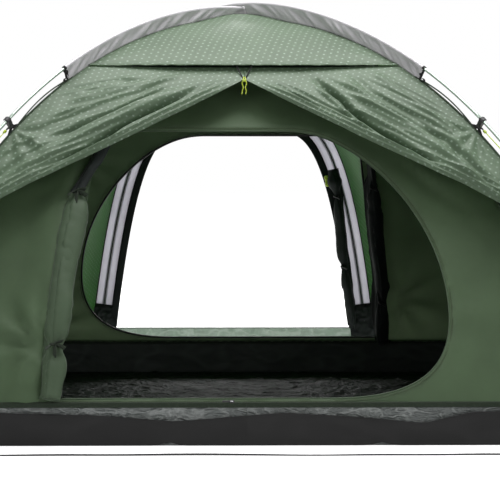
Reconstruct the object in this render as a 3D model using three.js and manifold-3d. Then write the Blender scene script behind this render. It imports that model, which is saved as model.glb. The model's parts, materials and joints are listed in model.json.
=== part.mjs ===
// A three-person dome tent on two crossing poles, with a third hooped pole holding up a rear porch.
// Millimetres, +Z up. The origin is the middle of the groundsheet's underside, and the front faces -Y.
// The fly is pitched outside the poles' arch with sleeves above and hooks below, the inner hangs inside it,
// and every fabric panel is a thin closed shell.
import * as THREE from 'three';
import { mergeVertices } from 'three/addons/utils/BufferGeometryUtils.js';
import Module from 'manifold-3d';

const wasm = await Module();
wasm.setup();

// ---------------------------------------------------------------- driving sizes
const crownHeight = 1180; // centre of the lower pole where the poles cross
const roundness = 0.74; // how much of a pole's fall comes from its evenly curved part
const footX = 1050; // a dome pole's foot, from the middle of the tent
const footY = 1250;
const poleRadius = 4.25;
const poleWall = 0.75;
const poleNodes = 48; // straight steps along one dome pole
const poleSections = 4;
const footRise = 20; // a pole's tip above the ground, held there by its pin
const crossingGap = 0.6; // between the two sleeves where they cross
const crossingWidth = 0.22; // share of the half span over which the upper pole's lift fades

const sleevePastHood = 0.055; // how far the dome sleeves pass the hood's hem, as a share of the half span
const sleevePlay = 0.85; // round the pole
const sleeveWall = 0.9;
const sleeveWeb = 1; // half the thickness of the flat of a sleeve
const flyDrop = 34; // pole centre to fly, square to the pole
const flyDropAtCrown = 16;
const dropFade = 0.15; // share of the half span over which the drop grows
const hookShare = 0.604; // where the pole hooks sit
const hookPlay = 0.75; // round the pole
const hookWall = 3;
const hookWidth = 14; // along the pole
const hookDrop = 26; // hook's pivot on its tape, below the pole
const lugReach = 14; // the guy line's lug, out beside the pole and on towards the peg
const lugLip = 8;

const clothThickness = 1.2;
const seamGap = 0.3; // clearance between neighbouring pieces
const sideRoom = 2.187; // from the pole's plane to a side panel's edge
const frontRoom = 1.925; // the same for the front panels, which meet the plane at another angle
const flyHem = 45; // fly's lower edge above the ground

const tubInsetX = 150; // tub's side, in from the pole's foot
const tubInsetY = 200;
const innerFall = 95; // crown of the inner below the pole's
const hipInset = 3;
const tubHeight = 100;
const tubThickness = 1.5;

const browFall = 190; // hem of the vent hood over the front door, below the crown
const browFlare = 16; // how far the hood's hem stands out
const wingTuck = 10; // how far the fly doors reach up past that hem
const wingApexFall = 28; // where the two rolled-back fly doors part, below their top
const wingSetback = 8; // how far the doors' tops sit inside the hood
const wingCorner = 0.23; // share of a door's length that lies under the hood
const wingFold = [ // the rolled-back door's free edge: share of the way out, share of the way up to the apex
  [0, 1],
  [0.31, 0.82],
  [0.62, 0.643],
  [0.729, 0.535],
  [0.81, 0.386],
  [0.876, 0.182],
  [0.914, 0.017],
];

const doorSillRise = 20; // inner door opening, above the tub's edge
const doorTopFall = 275; // and below the inner's crown
// The hinged side's foot, in from the tub's side, how far it leans in, and the roll's middle beyond it.
const frontHinge = { inset: 400, lean: 93, beside: 12 };
const rearHinge = { inset: 400, lean: 98, beside: 19 };
const doorFarInset = 372;
const rollRadius = 24;
const rollEndRoom = 14; // from the sill to the roll
const rollPastHinge = 40; // how far the roll runs on above the straight of the hinge

const porchReach = 1100; // plane of the hooped pole, behind the dome's rear feet
const porchHalfWidth = 530;
const porchHeight = 900;
const porchSquareness = 5.5;
const porchNodes = 40;
const porchSleeveReach = 35; // sleeve's flat to each side of its pole
const porchSleeveFoot = 155; // height at which the porch sleeve starts
const porchBorder = 25; // black edge round the porch door
const porchSillHeight = 60;
const porchRollRadius = 22;
const porchRollFall = 200; // top of the rolled porch door, below the top of the hoop
const porchRollInset = [57, 18]; // its middle, in from the pole, at its foot and at its top
const rollSides = 10;

const padRadius = 24;
const padThickness = 3;
const webbingWidth = 25;
const webbingThickness = 1.6;
const pinPlay = 0.8; // in the pole's bore
const pinDepth = 30;
const pegRingRadius = 12;
const pegRingReach = 10; // ring's centre, out from the pad's edge

const guyRadius = 1.4;
const guySides = 8;
const guySteps = 24;
const guySag = 3;
const guyReachX = 270; // where the guy lines meet the ground, out from the poles' feet
const guyReachY = 110;
const runnerLength = 34;
const runnerClearance = 1;
const runnerShare = 0.68; // runner's place along its guy line
const pegLength = 180;
const pegRadius = 3;
const pullWidth = 8; // cord loop on the fly's zip
const pullLength = 42;

// ---------------------------------------------------------------- sizes that follow from them
const poleBore = poleRadius - poleWall;
const pinRadius = poleBore - pinPlay;
const sleeveBore = poleRadius + sleevePlay;
const sleeveRadius = sleeveBore + sleeveWall;
const hookBore = poleRadius + hookPlay;
const crossingLift = 2 * sleeveRadius + crossingGap; // upper pole's centre above the lower one's
const halfSpan = Math.hypot(footX, footY);
const sideInset = (sideRoom * halfSpan) / footX; // set back along the panel
const frontInset = (frontRoom * halfSpan) / footY;
const guyPegX = footX + guyReachX;
const guyPegY = footY + guyReachY;
const innerX = 2 * (footX - tubInsetX);
const innerY = 2 * (footY - tubInsetY);
const innerCrown = crownHeight - innerFall;
const browHem = crownHeight - browFall;
const wingTop = browHem - wingTuck;
const wingApex = wingTop - wingApexFall;
const doorSill = tubHeight + doorSillRise;
const doorTop = innerCrown - doorTopFall;
const porchY = footY + porchReach;

// ---------------------------------------------------------------- finishes
function finish(color, roughness, metalness = 0) {
  return new THREE.MeshStandardMaterial({ color, roughness, metalness });
}

const finishes = {
  fly: finish(0x6f8f70, 0.75),
  inner: finish(0x4b5f46, 0.8),
  tub: finish(0x3a3c3b, 0.5),
  sleeve: finish(0xaaa8af, 0.7),
  border: finish(0x14181a, 0.8),
  sill: finish(0x9fb09f, 0.5),
  pole: finish(0x9aa59c, 0.35, 0.8),
  plastic: finish(0x17181a, 0.5),
  webbing: finish(0x101112, 0.85),
  guy: finish(0xcde128, 0.6),
  steel: finish(0xb4b8bb, 0.3, 1),
};

const group = new THREE.Group();

function add(name, geometry, material) {
  const mesh = new THREE.Mesh(closed(geometry), material);
  mesh.name = name;
  group.add(mesh);
  return mesh;
}

// ---------------------------------------------------------------- closed meshes
const point = (x, y, z) => new THREE.Vector3(x, y, z);

function signedVolume(geometry) {
  const { position } = geometry.attributes;
  const index = geometry.index.array;
  const [a, b, c] = [point(), point(), point()];
  let sum = 0;
  for (let i = 0; i < index.length; i += 3) {
    a.fromBufferAttribute(position, index[i]);
    b.fromBufferAttribute(position, index[i + 1]);
    c.fromBufferAttribute(position, index[i + 2]);
    sum += a.dot(b.cross(c)) / 6;
  }
  return sum;
}

// Joins equal corners, drops triangles that have shrunk to a line, and turns the faces outwards.
function closed(geometry) {
  const bare = new THREE.BufferGeometry();
  bare.setAttribute('position', geometry.attributes.position);
  bare.setIndex(geometry.index);
  const merged = mergeVertices(bare, 1e-3);
  const index = [];
  for (let i = 0; i < merged.index.count; i += 3) {
    const [a, b, c] = merged.index.array.slice(i, i + 3);
    if (a !== b && b !== c && c !== a) index.push(a, b, c);
  }
  merged.setIndex(index);
  if (signedVolume(merged) < 0) merged.setIndex(index.reverse());
  return merged;
}

function geometryOf(corners, index) {
  const geometry = new THREE.BufferGeometry().setFromPoints(corners);
  geometry.setIndex(index);
  return geometry;
}

function solidOf(geometry) {
  const tidy = closed(geometry);
  return new wasm.Manifold(new wasm.Mesh({
    numProp: 3,
    vertProperties: new Float32Array(tidy.attributes.position.array),
    triVerts: new Uint32Array(tidy.index.array),
  }));
}

function geometryFrom(solid) {
  const { vertProperties, triVerts } = solid.getMesh();
  const geometry = new THREE.BufferGeometry();
  geometry.setAttribute('position', new THREE.BufferAttribute(vertProperties, 3));
  geometry.setIndex(new THREE.BufferAttribute(triVerts, 1));
  return geometry;
}

const joined = (...shapes) => geometryFrom(shapes.map(solidOf).reduce((whole, next) => whole.add(next)));
const cut = (shape, ...tools) =>
  geometryFrom(tools.map(solidOf).reduce((whole, next) => whole.subtract(next), solidOf(shape)));

// A cloth shell: its outer face is surface(u, v) over the unit square, its inner face lies a thickness
// inside that, along the surface's own normal, and its rim is closed.
function clothShell(surface, columns, rows, inward, thickness = clothThickness) {
  const nudge = 1e-3;
  const outer = [];
  const inner = [];
  for (let j = 0; j <= rows; j++) {
    for (let i = 0; i <= columns; i++) {
      const u = i / columns;
      const v = j / rows;
      const here = surface(u, v);
      const su = Math.min(Math.max(u, nudge), 1 - nudge);
      const sv = Math.min(Math.max(v, nudge), 1 - nudge);
      const across = surface(su + nudge, sv).sub(surface(su - nudge, sv));
      const along = surface(su, sv + nudge).sub(surface(su, sv - nudge));
      const normal = across.cross(along).normalize();
      if (normal.dot(point().subVectors(inward, here)) > 0) normal.negate();
      outer.push(here);
      inner.push(here.clone().addScaledVector(normal, -thickness));
    }
  }
  const corners = [...outer, ...inner];
  const shift = outer.length;
  const at = (i, j) => j * (columns + 1) + i;
  const index = [];
  for (let j = 0; j < rows; j++) {
    for (let i = 0; i < columns; i++) {
      const [a, b, c, d] = [at(i, j), at(i + 1, j), at(i + 1, j + 1), at(i, j + 1)];
      index.push(a, b, c, a, c, d);
      index.push(a + shift, c + shift, b + shift, a + shift, d + shift, c + shift);
    }
  }
  const rim = [];
  for (let i = 0; i < columns; i++) rim.push([at(i, 0), at(i + 1, 0)]);
  for (let j = 0; j < rows; j++) rim.push([at(columns, j), at(columns, j + 1)]);
  for (let i = columns; i > 0; i--) rim.push([at(i, rows), at(i - 1, rows)]);
  for (let j = rows; j > 0; j--) rim.push([at(0, j), at(0, j - 1)]);
  for (const [a, b] of rim) index.push(b, a, a + shift, b, a + shift, b + shift);
  return geometryOf(corners, index);
}

// A section carried along straight steps. sideAt gives the section's own X at a node and contourAt its
// outline there, counter-clockwise, with an optional hole through it, clockwise.
function carried(nodes, sideAt, contourAt, hole = []) {
  const corners = [];
  const size = contourAt(0).length + hole.length;
  nodes.forEach((node, i) => {
    const before = nodes[Math.max(i - 1, 0)];
    const after = nodes[Math.min(i + 1, nodes.length - 1)];
    const ahead = point().subVectors(after, before).normalize();
    const side = sideAt(i).clone().addScaledVector(ahead, -sideAt(i).dot(ahead)).normalize();
    const up = point().crossVectors(ahead, side);
    for (const [x, y] of [...contourAt(i), ...hole]) {
      corners.push(node.clone().addScaledVector(side, x).addScaledVector(up, y));
    }
  });
  const index = [];
  const wall = (first, count) => {
    for (let i = 0; i + 1 < nodes.length; i++) {
      for (let j = 0; j < count; j++) {
        const a = i * size + first + j;
        const b = i * size + first + ((j + 1) % count);
        index.push(a, b, b + size, a, b + size, a + size);
      }
    }
  };
  const outline = contourAt(0).length;
  wall(0, outline);
  if (hole.length) wall(outline, hole.length);
  const flat = (list) => list.map(([x, y]) => new THREE.Vector2(x, y));
  const holes = hole.length ? [flat(hole)] : [];
  const last = (nodes.length - 1) * size;
  for (const [a, b, c] of THREE.ShapeUtils.triangulateShape(flat(contourAt(0)), holes)) {
    index.push(c, b, a, last + a, last + b, last + c);
  }
  return geometryOf(corners, index);
}

// ---------------------------------------------------------------- sections
function ring(radius, sides = 8) {
  const turn = (2 * Math.PI) / sides;
  return Array.from({ length: sides }, (_, i) => {
    const angle = turn * (i + 0.5);
    return [radius * Math.cos(angle), radius * Math.sin(angle)];
  });
}

const hollow = (radius, sides = 8) => ring(radius, sides).reverse();

// A sleeve: a round pocket with a flat below it, and another above it where above is given.
function sleeveSection(below, above = 0) {
  const round = ring(sleeveRadius);
  const top = above ? [[sleeveWeb, above], [-sleeveWeb, above]] : [];
  const bottom = [[-sleeveWeb, -below], [sleeveWeb, -below]];
  return [...round.slice(0, 2), ...top, ...round.slice(2, 6), ...bottom, ...round.slice(6)];
}

const strip = (width, thickness) => [
  [-width / 2, -thickness / 2],
  [width / 2, -thickness / 2],
  [width / 2, thickness / 2],
  [-width / 2, thickness / 2],
];

// ---------------------------------------------------------------- the arch of a dome pole
const archShape = (t) => 1 - roundness * t * t - (1 - roundness) * Math.abs(t) ** 5;
const archSlope = (t) =>
  (-crownHeight * (2 * roundness * t + 5 * (1 - roundness) * Math.sign(t) * t ** 4)) / halfSpan;
const lift = (t) => crossingLift * Math.exp(-((t / crossingWidth) ** 2));

// side is 1 for the pole from front left to rear right, and -1 for the other, which crosses above it.
class DomeArch extends THREE.Curve {
  constructor(side, end) {
    super();
    Object.assign(this, { side, end, arcLengthDivisions: 600 });
  }

  getPoint(share, target = point()) {
    const t = this.end * (2 * share - 1);
    const raised = this.side < 0 ? lift(t) : 0;
    return target.set(this.side * footX * t, footY * t, crownHeight * archShape(t) + raised);
  }
}

function shareWhere(test, low, high) {
  for (let i = 0; i < 60; i++) {
    const middle = (low + high) / 2;
    if (test(middle)) low = middle;
    else high = middle;
  }
  return low;
}

const tipShare = shareWhere((t) => crownHeight * archShape(t) > footRise, 0, 1);
const domeNodes = (side) => new DomeArch(side, tipShare).getSpacedPoints(poleNodes);
const shareOf = (node) => node.y / footY;

// The line under a pole where the fly's panels meet, for the quarter of the tent with x and y above 0.
const dropAt = (t) => {
  const grown = THREE.MathUtils.smoothstep(t, 0, dropFade);
  return THREE.MathUtils.lerp(flyDropAtCrown, flyDrop, grown);
};

function ridge(t, drop = dropAt(t)) {
  const slope = archSlope(t);
  const length = Math.hypot(slope, 1);
  const along = (t * halfSpan + (drop * slope) / length) / halfSpan;
  return point(footX * along, footY * along, crownHeight * archShape(t) - drop / length);
}

const ridgeShareAt = (height) => shareWhere((t) => ridge(t).z > height, 0, 1);
const hemShare = ridgeShareAt(flyHem);
const crownShare = 0.02;
const browShare = ridgeShareAt(browHem);
const sleeveShare = browShare + sleevePastHood;

// ---------------------------------------------------------------- poles
// Shortens a section at both ends, and further where it meets its neighbour at an angle.
function openEnds(nodes, before, after) {
  const list = nodes.map((node) => node.clone());
  const trim = (end, next, beyond) => {
    const back = point().subVectors(next, end).normalize();
    const bend = beyond ? Math.PI - back.angleTo(point().subVectors(beyond, end)) : 0;
    end.addScaledVector(back, seamGap / 2 + poleRadius * Math.tan(bend / 2));
  };
  trim(list[0], list[1], before);
  trim(list.at(-1), list.at(-2), after);
  return list;
}

// A hollow section, with the ferrule that plugs into the next one if there is one.
function poleSection(nodes, before, next, side) {
  const ends = openEnds(nodes, before, next);
  const tube = carried(ends, () => side, () => ring(poleRadius), hollow(poleBore, 6));
  if (!next) return tube;
  const end = nodes.at(-1);
  const back = point().subVectors(nodes.at(-2), end).normalize();
  const ahead = point().subVectors(next, end).normalize();
  const seat = [end.clone().addScaledVector(back, pinDepth), end.clone().addScaledVector(back, 1)];
  const held = carried(seat, () => side, () => ring((poleRadius + poleBore) / 2));
  const reach = [end.clone().addScaledVector(back, pinDepth / 2), end];
  reach.push(end.clone().addScaledVector(ahead, pinDepth));
  return joined(tube, held, carried(reach, () => side, () => ring(pinRadius)));
}

function addPole(name, nodes, sections, side) {
  const steps = (nodes.length - 1) / sections;
  for (let i = 0; i < sections; i++) {
    const mine = nodes.slice(i * steps, (i + 1) * steps + 1);
    const before = nodes[i * steps - 1];
    const next = nodes[(i + 1) * steps + 1];
    add(`${name}_${i + 1}`, poleSection(mine, before, next, side), finishes.pole);
  }
}

const lowerNodes = domeNodes(1);
const upperNodes = domeNodes(-1);
const sideOfPole = (side) => point(-footY, side * footX, 0).normalize();
addPole('pole_a', lowerNodes, poleSections, sideOfPole(1));
addPole('pole_b', upperNodes, poleSections, sideOfPole(-1));

// ---------------------------------------------------------------- dome sleeves
// The flat of a sleeve reaches the fly. The upper sleeve has none where it passes over the lower one.
function domeSleeve(nodes, side) {
  const inside = nodes.filter((node) => Math.abs(shareOf(node)) < sleeveShare);
  const clearOf = sleeveRadius + 4;
  if (side < 0) {
    const crown = inside.length >> 1;
    const towards = (next, distance) => {
      const way = point().subVectors(inside[next], inside[crown]).normalize();
      return inside[crown].clone().addScaledVector(way, distance);
    };
    const before = [2 * clearOf, clearOf].map((distance) => towards(crown - 1, distance));
    const after = [clearOf, 2 * clearOf].map((distance) => towards(crown + 1, distance));
    inside.splice(crown, 1, ...before, inside[crown], ...after);
  }
  const reach = inside.map((node) => {
    const t = Math.abs(shareOf(node));
    const bare = side < 0 && t * halfSpan < clearOf * 1.5;
    const raised = side < 0 ? lift(t) : 0;
    return bare ? sleeveRadius + 0.2 : dropAt(t) + raised + 2 * sleeveWeb;
  });
  return carried(inside, () => sideOfPole(side), (i) => sleeveSection(reach[i]), hollow(sleeveBore));
}

add('pole_sleeve_a', domeSleeve(lowerNodes, 1), finishes.sleeve);
add('pole_sleeve_b', domeSleeve(upperNodes, -1), finishes.sleeve);

// ---------------------------------------------------------------- fly over the dome
const tentHeart = point(0, 0, 300);
const between = (from, to, share) => THREE.MathUtils.lerp(from, to, share);

for (const side of [-1, 1]) {
  const surface = (u, v) => {
    const edge = ridge(between(crownShare, hemShare, v));
    return point(side * edge.x, (2 * u - 1) * (edge.y - sideInset), edge.z);
  };
  add(side < 0 ? 'fly_left_side' : 'fly_right_side', clothShell(surface, 2, 14, tentHeart), finishes.fly);
}

// The hood over the front door swells forwards towards its hem, which is bound to the ridges at its ends.
function browSurface(u, v) {
  const edge = ridge(between(crownShare, browShare, v));
  const x = (2 * u - 1) * (edge.x - frontInset);
  const flare = browFlare * v * v * (1 - (2 * u - 1) ** 2);
  return point(x, -edge.y - flare, edge.z);
}

add('fly_brow', clothShell(browSurface, 8, 5, tentHeart), finishes.fly);

// The fly's two front doors are rolled back along the poles, so that their free edges make a V.
const wingEdge = new THREE.SplineCurve(
  wingFold.map(([out, up]) => new THREE.Vector2(footX * out, flyHem + (wingApex - flyHem) * up)),
);
const wingTopShare = ridgeShareAt(wingTop);

function wingSurface(u, v, side) {
  const low = wingEdge.getPointAt(u);
  let high = ridge(between(wingTopShare, hemShare, (u - wingCorner) / (1 - wingCorner)));
  high.x -= frontInset;
  if (u < wingCorner) {
    const corner = ridge(wingTopShare);
    high = point((corner.x - frontInset) * (u / wingCorner), corner.y, corner.z);
  }
  const x = between(low.x + seamGap * 2, high.x, v);
  const z = between(low.y, high.z, v);
  const setback = wingSetback * (1 - THREE.MathUtils.smoothstep(u, wingCorner * 0.3, wingCorner * 0.85));
  const edge = ridge(ridgeShareAt(z));
  return point(side * x, -edge.y + setback, z);
}

for (const side of [-1, 1]) {
  const name = side < 0 ? 'fly_front_left_door' : 'fly_front_right_door';
  add(name, clothShell((u, v) => wingSurface(u, v, side), 20, 2, tentHeart), finishes.fly);
}

// ---------------------------------------------------------------- porch
// The hooped pole, square-shouldered, with its feet on the ground.
class PorchArch extends THREE.Curve {
  constructor(grow = 0, foot = footRise) {
    super();
    const turn = Math.acos(Math.sqrt(foot / (porchHeight + grow)));
    Object.assign(this, { grow, turn, arcLengthDivisions: 800 });
  }

  getPoint(share, target = point()) {
    const angle = this.turn * (2 * share - 1);
    const out = Math.abs(Math.sin(angle)) ** (2 / porchSquareness);
    const x = (porchHalfWidth + this.grow) * Math.sign(angle) * out;
    return target.set(x, porchY, (porchHeight + this.grow) * Math.cos(angle) ** 2);
  }
}

const hoopNodes = new PorchArch().getSpacedPoints(porchNodes);
const hoopSide = point(0, 1, 0);
addPole('porch_pole', hoopNodes, 2, hoopSide);

const sleeveNodes = hoopNodes.filter((node) => node.z > porchSleeveFoot);
const porchSection = sleeveSection(porchSleeveReach, porchSleeveReach);
add('porch_pole_sleeve', carried(sleeveNodes, () => hoopSide, () => porchSection, hollow(sleeveBore)),
  finishes.sleeve);

// Every node of the hoop, moved square to the hoop by reach.
function hoopOffset(reach) {
  return hoopNodes.map((node, i) => {
    const before = hoopNodes[Math.max(i - 1, 0)];
    const after = hoopNodes[Math.min(i + 1, hoopNodes.length - 1)];
    const ahead = point().subVectors(after, before).normalize();
    const up = point().crossVectors(ahead, hoopSide);
    return node.clone().addScaledVector(up, reach);
  });
}

function alongNodes(nodes, share) {
  const place = Math.min(Math.max(share, 0), 1) * (nodes.length - 1);
  const low = Math.min(Math.floor(place), nodes.length - 2);
  return point().lerpVectors(nodes[low], nodes[low + 1], place - low);
}

// Each half of the porch is stretched straight from a rear arm of the dome to the edge of the hoop's sleeve.
const porchRim = hoopOffset(porchSleeveReach);
porchRim.forEach((node) => node.setY(porchY - sleeveWeb - seamGap));
const porchFootShare = shareWhere((share) => alongNodes(porchRim, share).z < flyHem, 0, 0.3);
const rearArm = Array.from({ length: 25 }, (_, i) => ridge(between(crownShare, hemShare, i / 24)));
const rearOfPole = point(-footY, footX, 0).normalize();
rearArm.unshift(rearArm[0].clone().setX(0));

function porchSurface(u, v, side) {
  const dome = alongNodes(rearArm, v);
  const hoop = alongNodes(porchRim, between(0.5, 1 - porchFootShare, v));
  const place = dome.addScaledVector(rearOfPole, sleeveWeb + 1.5 * seamGap).lerp(hoop, u);
  place.x = side * Math.max(place.x, clothThickness + seamGap);
  return place;
}

for (const side of [-1, 1]) {
  const name = side < 0 ? 'porch_left_half' : 'porch_right_half';
  const heart = point(0, 1000, 200);
  add(name, clothShell((u, v) => porchSurface(u, v, side), 2, 20, heart), finishes.fly);
}

// The black edge round the porch door, from one end of the sill to the other.
const borderReach = porchSleeveReach + seamGap + porchBorder / 2;
const borderNodes = hoopOffset(-borderReach).filter((node) => node.z > porchSillHeight + 4);
const borderSection = strip(clothThickness, porchBorder);
add('porch_door_border', carried(borderNodes, () => hoopSide, () => borderSection), finishes.border);

// The sill spans the hoop's legs, just above the pads that they stand on.
const sillHalf = alongNodes(hoopOffset(-poleRadius - seamGap - 3), 0.985).x;
const sillFoot = padThickness + seamGap;
const sill = new THREE.BoxGeometry(2 * sillHalf, clothThickness, porchSillHeight - sillFoot);
sill.translate(0, porchY, (porchSillHeight + sillFoot) / 2);
add('porch_sill', sill, finishes.sill);

// ---------------------------------------------------------------- tub
const tubOuter = new THREE.BoxGeometry(innerX, innerY, tubHeight);
tubOuter.translate(0, 0, tubHeight / 2);
const tubInner = new THREE.BoxGeometry(innerX - 2 * tubThickness, innerY - 2 * tubThickness, tubHeight);
tubInner.translate(0, 0, tubHeight / 2 + tubThickness);
add('groundsheet_tub', cut(tubOuter, tubInner), finishes.tub);

// ---------------------------------------------------------------- inner walls
// A point of the inner's corner seam, for the quarter with x and y above 0.
function innerHip(t) {
  const height = tubHeight + 0.8 + (innerCrown - tubHeight) * archShape(t);
  return point((innerX / 2) * t, (innerY / 2) * t, height);
}

const innerShareAt = (height) => shareWhere((t) => innerHip(t).z > height, 0, 1);

// The D of a door: straight along its sill and its hinge, round at the far side. x grows away from the hinge.
const hingeOf = (front) => {
  const { inset, lean, beside } = front ? frontHinge : rearHinge;
  return { foot: inset - innerX / 2, top: inset - innerX / 2 + lean, beside };
};
const doorFarEdge = innerX / 2 - doorFarInset;
const hingeRise = 0.884; // share of the door's height at which its top corner's curve starts

function doorOutline({ foot, top }) {
  const shape = new THREE.Shape();
  const at = (x, z) => [between(foot, doorFarEdge, x), between(doorSill, doorTop, z)];
  shape.moveTo(foot, doorSill);
  shape.lineTo(...at(0.701, 0));
  shape.bezierCurveTo(...at(0.912, 0), ...at(1, 0.101), ...at(1, 0.304));
  shape.bezierCurveTo(...at(1, 0.551), ...at(0.902, 0.783), ...at(0.772, 0.913));
  shape.bezierCurveTo(...at(0.711, 0.971), ...at(0.661, 1), ...at(0.591, 1));
  shape.lineTo(...at(0.19, 1));
  shape.bezierCurveTo(...at(0.13, 1), top + 10, at(0, 0.957)[1], top, at(0, hingeRise)[1]);
  shape.lineTo(foot, doorSill);
  return shape;
}

function doorCutter(front) {
  const depth = innerY / 2;
  const outline = doorOutline(hingeOf(front));
  const prism = new THREE.ExtrudeGeometry(outline, { depth, bevelEnabled: false, curveSegments: 6 });
  prism.rotateX(Math.PI / 2);
  prism.translate(0, -200, 0);
  if (!front) prism.rotateZ(Math.PI);
  return prism;
}

const wallRows = 12;
const wallShare = (row) => between(crownShare, 1, row / wallRows);

function endWall(front) {
  const way = front ? -1 : 1;
  const surface = (u, v) => {
    const edge = innerHip(wallShare(v * wallRows));
    return point((2 * u - 1) * (edge.x - hipInset), way * edge.y, edge.z);
  };
  return cut(clothShell(surface, 1, wallRows, tentHeart), doorCutter(front));
}

function sideWall(side) {
  const surface = (u, v) => {
    const edge = innerHip(wallShare(v * wallRows));
    return point(side * edge.x, (2 * u - 1) * (edge.y - hipInset), edge.z);
  };
  return clothShell(surface, 1, wallRows, tentHeart);
}

add('inner_front_wall', endWall(true), finishes.inner);
add('inner_rear_wall', endWall(false), finishes.inner);
add('inner_left_wall', sideWall(-1), finishes.inner);
add('inner_right_wall', sideWall(1), finishes.inner);

// ---------------------------------------------------------------- rolled doors
// A door rolled up along its hinge, outside the front wall or inside the rear one.
function doorRoll(front) {
  const turn = front ? 1 : -1;
  const { foot, top: head, beside } = hingeOf(front);
  const standOff = front ? rollRadius + 2 * seamGap : -(rollRadius + 2 * seamGap + clothThickness);
  const nodes = [];
  const straight = hingeRise * (doorTop - doorSill);
  const [bottom, top] = [doorSill + rollEndRoom, doorSill + straight + rollPastHinge];
  const rows = Array.from({ length: wallRows }, (_, row) => innerHip(wallShare(wallRows - row)).z);
  const heights = [bottom, ...rows.filter((height) => height > bottom + 20 && height < top - 20), top];
  for (const height of heights) {
    const share = innerShareAt(height);
    const hinge = between(foot, head, (height - doorSill) / straight);
    const slope = innerHip(share + 0.01).sub(innerHip(share - 0.01));
    const outward = point(0, -slope.z, slope.y).normalize();
    const wall = point(hinge - beside, innerHip(share).y, height);
    wall.addScaledVector(outward, standOff);
    nodes.push(point(turn * wall.x, -turn * wall.y, wall.z));
  }
  const thickness = (i) => rollRadius * (i === 0 || i === nodes.length - 1 ? 0.8 : 1);
  return carried(nodes, () => point(turn, 0, 0), (i) => ring(thickness(i), rollSides));
}

add('inner_front_door_roll', doorRoll(true), finishes.inner);
add('inner_rear_door_roll', doorRoll(false), finishes.border);

// The porch door is rolled up along the right leg of the hoop, on the side of the dome. Its top leans on
// the sleeve, and it hangs a little further in from the pole towards its foot.
function porchRoll() {
  const top = porchHeight - porchRollFall;
  const clear = porchRollRadius + sleeveRadius + seamGap;
  const offRound = Math.sqrt(Math.max(0, clear ** 2 - porchRollInset[1] ** 2));
  const standOff = Math.max(offRound, porchRollRadius + sleeveWeb + seamGap);
  const beside = (node) => node.x > 0 && node.z > porchSillHeight + 10 && node.z < top;
  const nodes = hoopNodes.filter(beside).map((node) => node.clone());
  nodes.forEach((node) => {
    node.x -= between(...porchRollInset, (node.z - porchSillHeight) / (top - porchSillHeight));
    node.y -= standOff;
  });
  return carried(nodes, () => hoopSide, () => ring(porchRollRadius, rollSides));
}

add('porch_door_roll', porchRoll(), finishes.fly);

// ---------------------------------------------------------------- hooks, their tapes and the guy lines
// Where a hook sits: the pole's centre, the way along the pole and the way out from it.
function hookPlace(sideX, sideY) {
  const pole = sideX === sideY ? 1 : -1;
  const nodes = pole > 0 ? lowerNodes : upperNodes;
  const share = (sideY * hookShare + tipShare) / (2 * tipShare);
  const target = new DomeArch(pole, tipShare).getPoint(share);
  const after = nodes.findIndex((node) => node.y > target.y);
  const [low, high] = [nodes[after - 1], nodes[after]];
  const centre = point().lerpVectors(low, high, (target.y - low.y) / (high.y - low.y));
  const along = point().subVectors(high, low).normalize();
  const side = sideOfPole(pole);
  const up = point().crossVectors(along, side).normalize();
  const outer = Math.sign(side.x) === sideX ? 1 : -1;
  return { centre, along, side, up, outer };
}

function placedAt({ along, side, up }, origin) {
  const frame = new THREE.Matrix4().makeBasis(side, up, along);
  return frame.setPosition(origin);
}

// A hook open to one side. Its mouth follows circles round its pivot, so it swings off the pole freely.
function hookOutline(outer) {
  const shape = new THREE.Shape();
  const mouth = hookDrop + hookBore;
  const floor = hookDrop - hookBore;
  const reach = hookBore + 1.5;
  const corner = (x, y) => [outer * x, y - hookDrop];
  const onCircle = (radius, x) => corner(x, Math.sqrt(radius * radius - x * x));
  const points = [corner(-4, 3), corner(-4, 8), corner(-reach - hookWall, floor - hookWall)];
  points.push(onCircle(mouth + hookWall, -reach), onCircle(mouth + hookWall, reach));
  points.push(onCircle(mouth, reach), onCircle(mouth, 0), onCircle(mouth, -hookBore));
  points.push(onCircle(floor, -hookBore), onCircle(floor, 0), onCircle(floor, reach));
  points.push(onCircle(floor - hookWall, reach), corner(4, 8), corner(4, 3));
  points.forEach(([x, y], i) => (i ? shape.lineTo(x, y) : shape.moveTo(x, y)));
  return shape;
}

const pegPoint = (sideX, sideY) => point(sideX * guyPegX, sideY * guyPegY, pegRadius + seamGap);

function addHook(sideX, sideY, corner) {
  const place = hookPlace(sideX, sideY);
  const body = new THREE.ExtrudeGeometry(hookOutline(place.outer), { depth: hookWidth, bevelEnabled: false });
  body.translate(0, 0, -hookWidth / 2);
  body.applyMatrix4(placedAt(place, place.centre));
  add(`pole_hook_${corner}`, body, finishes.plastic);

  // The tape comes up from the ridge to the hook's foot, with a lug on its outer side for the guy line.
  const foot = place.centre.clone().addScaledVector(place.up, -flyDrop - 3);
  const head = place.centre.clone().addScaledVector(place.up, -hookDrop + 3 - seamGap);
  const tape = carried([foot, head], () => place.along, () => strip(hookWidth + 8, webbingThickness));
  const lugRoot = place.centre.clone().addScaledVector(place.up, -hookDrop);
  const lugBend = lugRoot.clone().addScaledVector(place.side, place.outer * lugReach);
  const away = point().subVectors(pegPoint(sideX, sideY), lugBend).normalize();
  const lugTip = lugBend.clone().addScaledVector(away, lugLip);
  const lug = carried([lugRoot, lugBend, lugTip], () => place.along, () => strip(10, 3));
  add(`hook_tape_${corner}`, joined(tape, lug), finishes.webbing);
  return lugTip;
}

// The pull of the guy line, from the lug to the peg, with a slight sag.
function guyNodes(start, end) {
  const nodes = [];
  for (let i = 0; i <= guySteps; i++) {
    const share = i / guySteps;
    const node = point().lerpVectors(start, end, share);
    node.z -= guySag * 4 * share * (1 - share);
    nodes.push(node);
  }
  return nodes;
}

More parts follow.
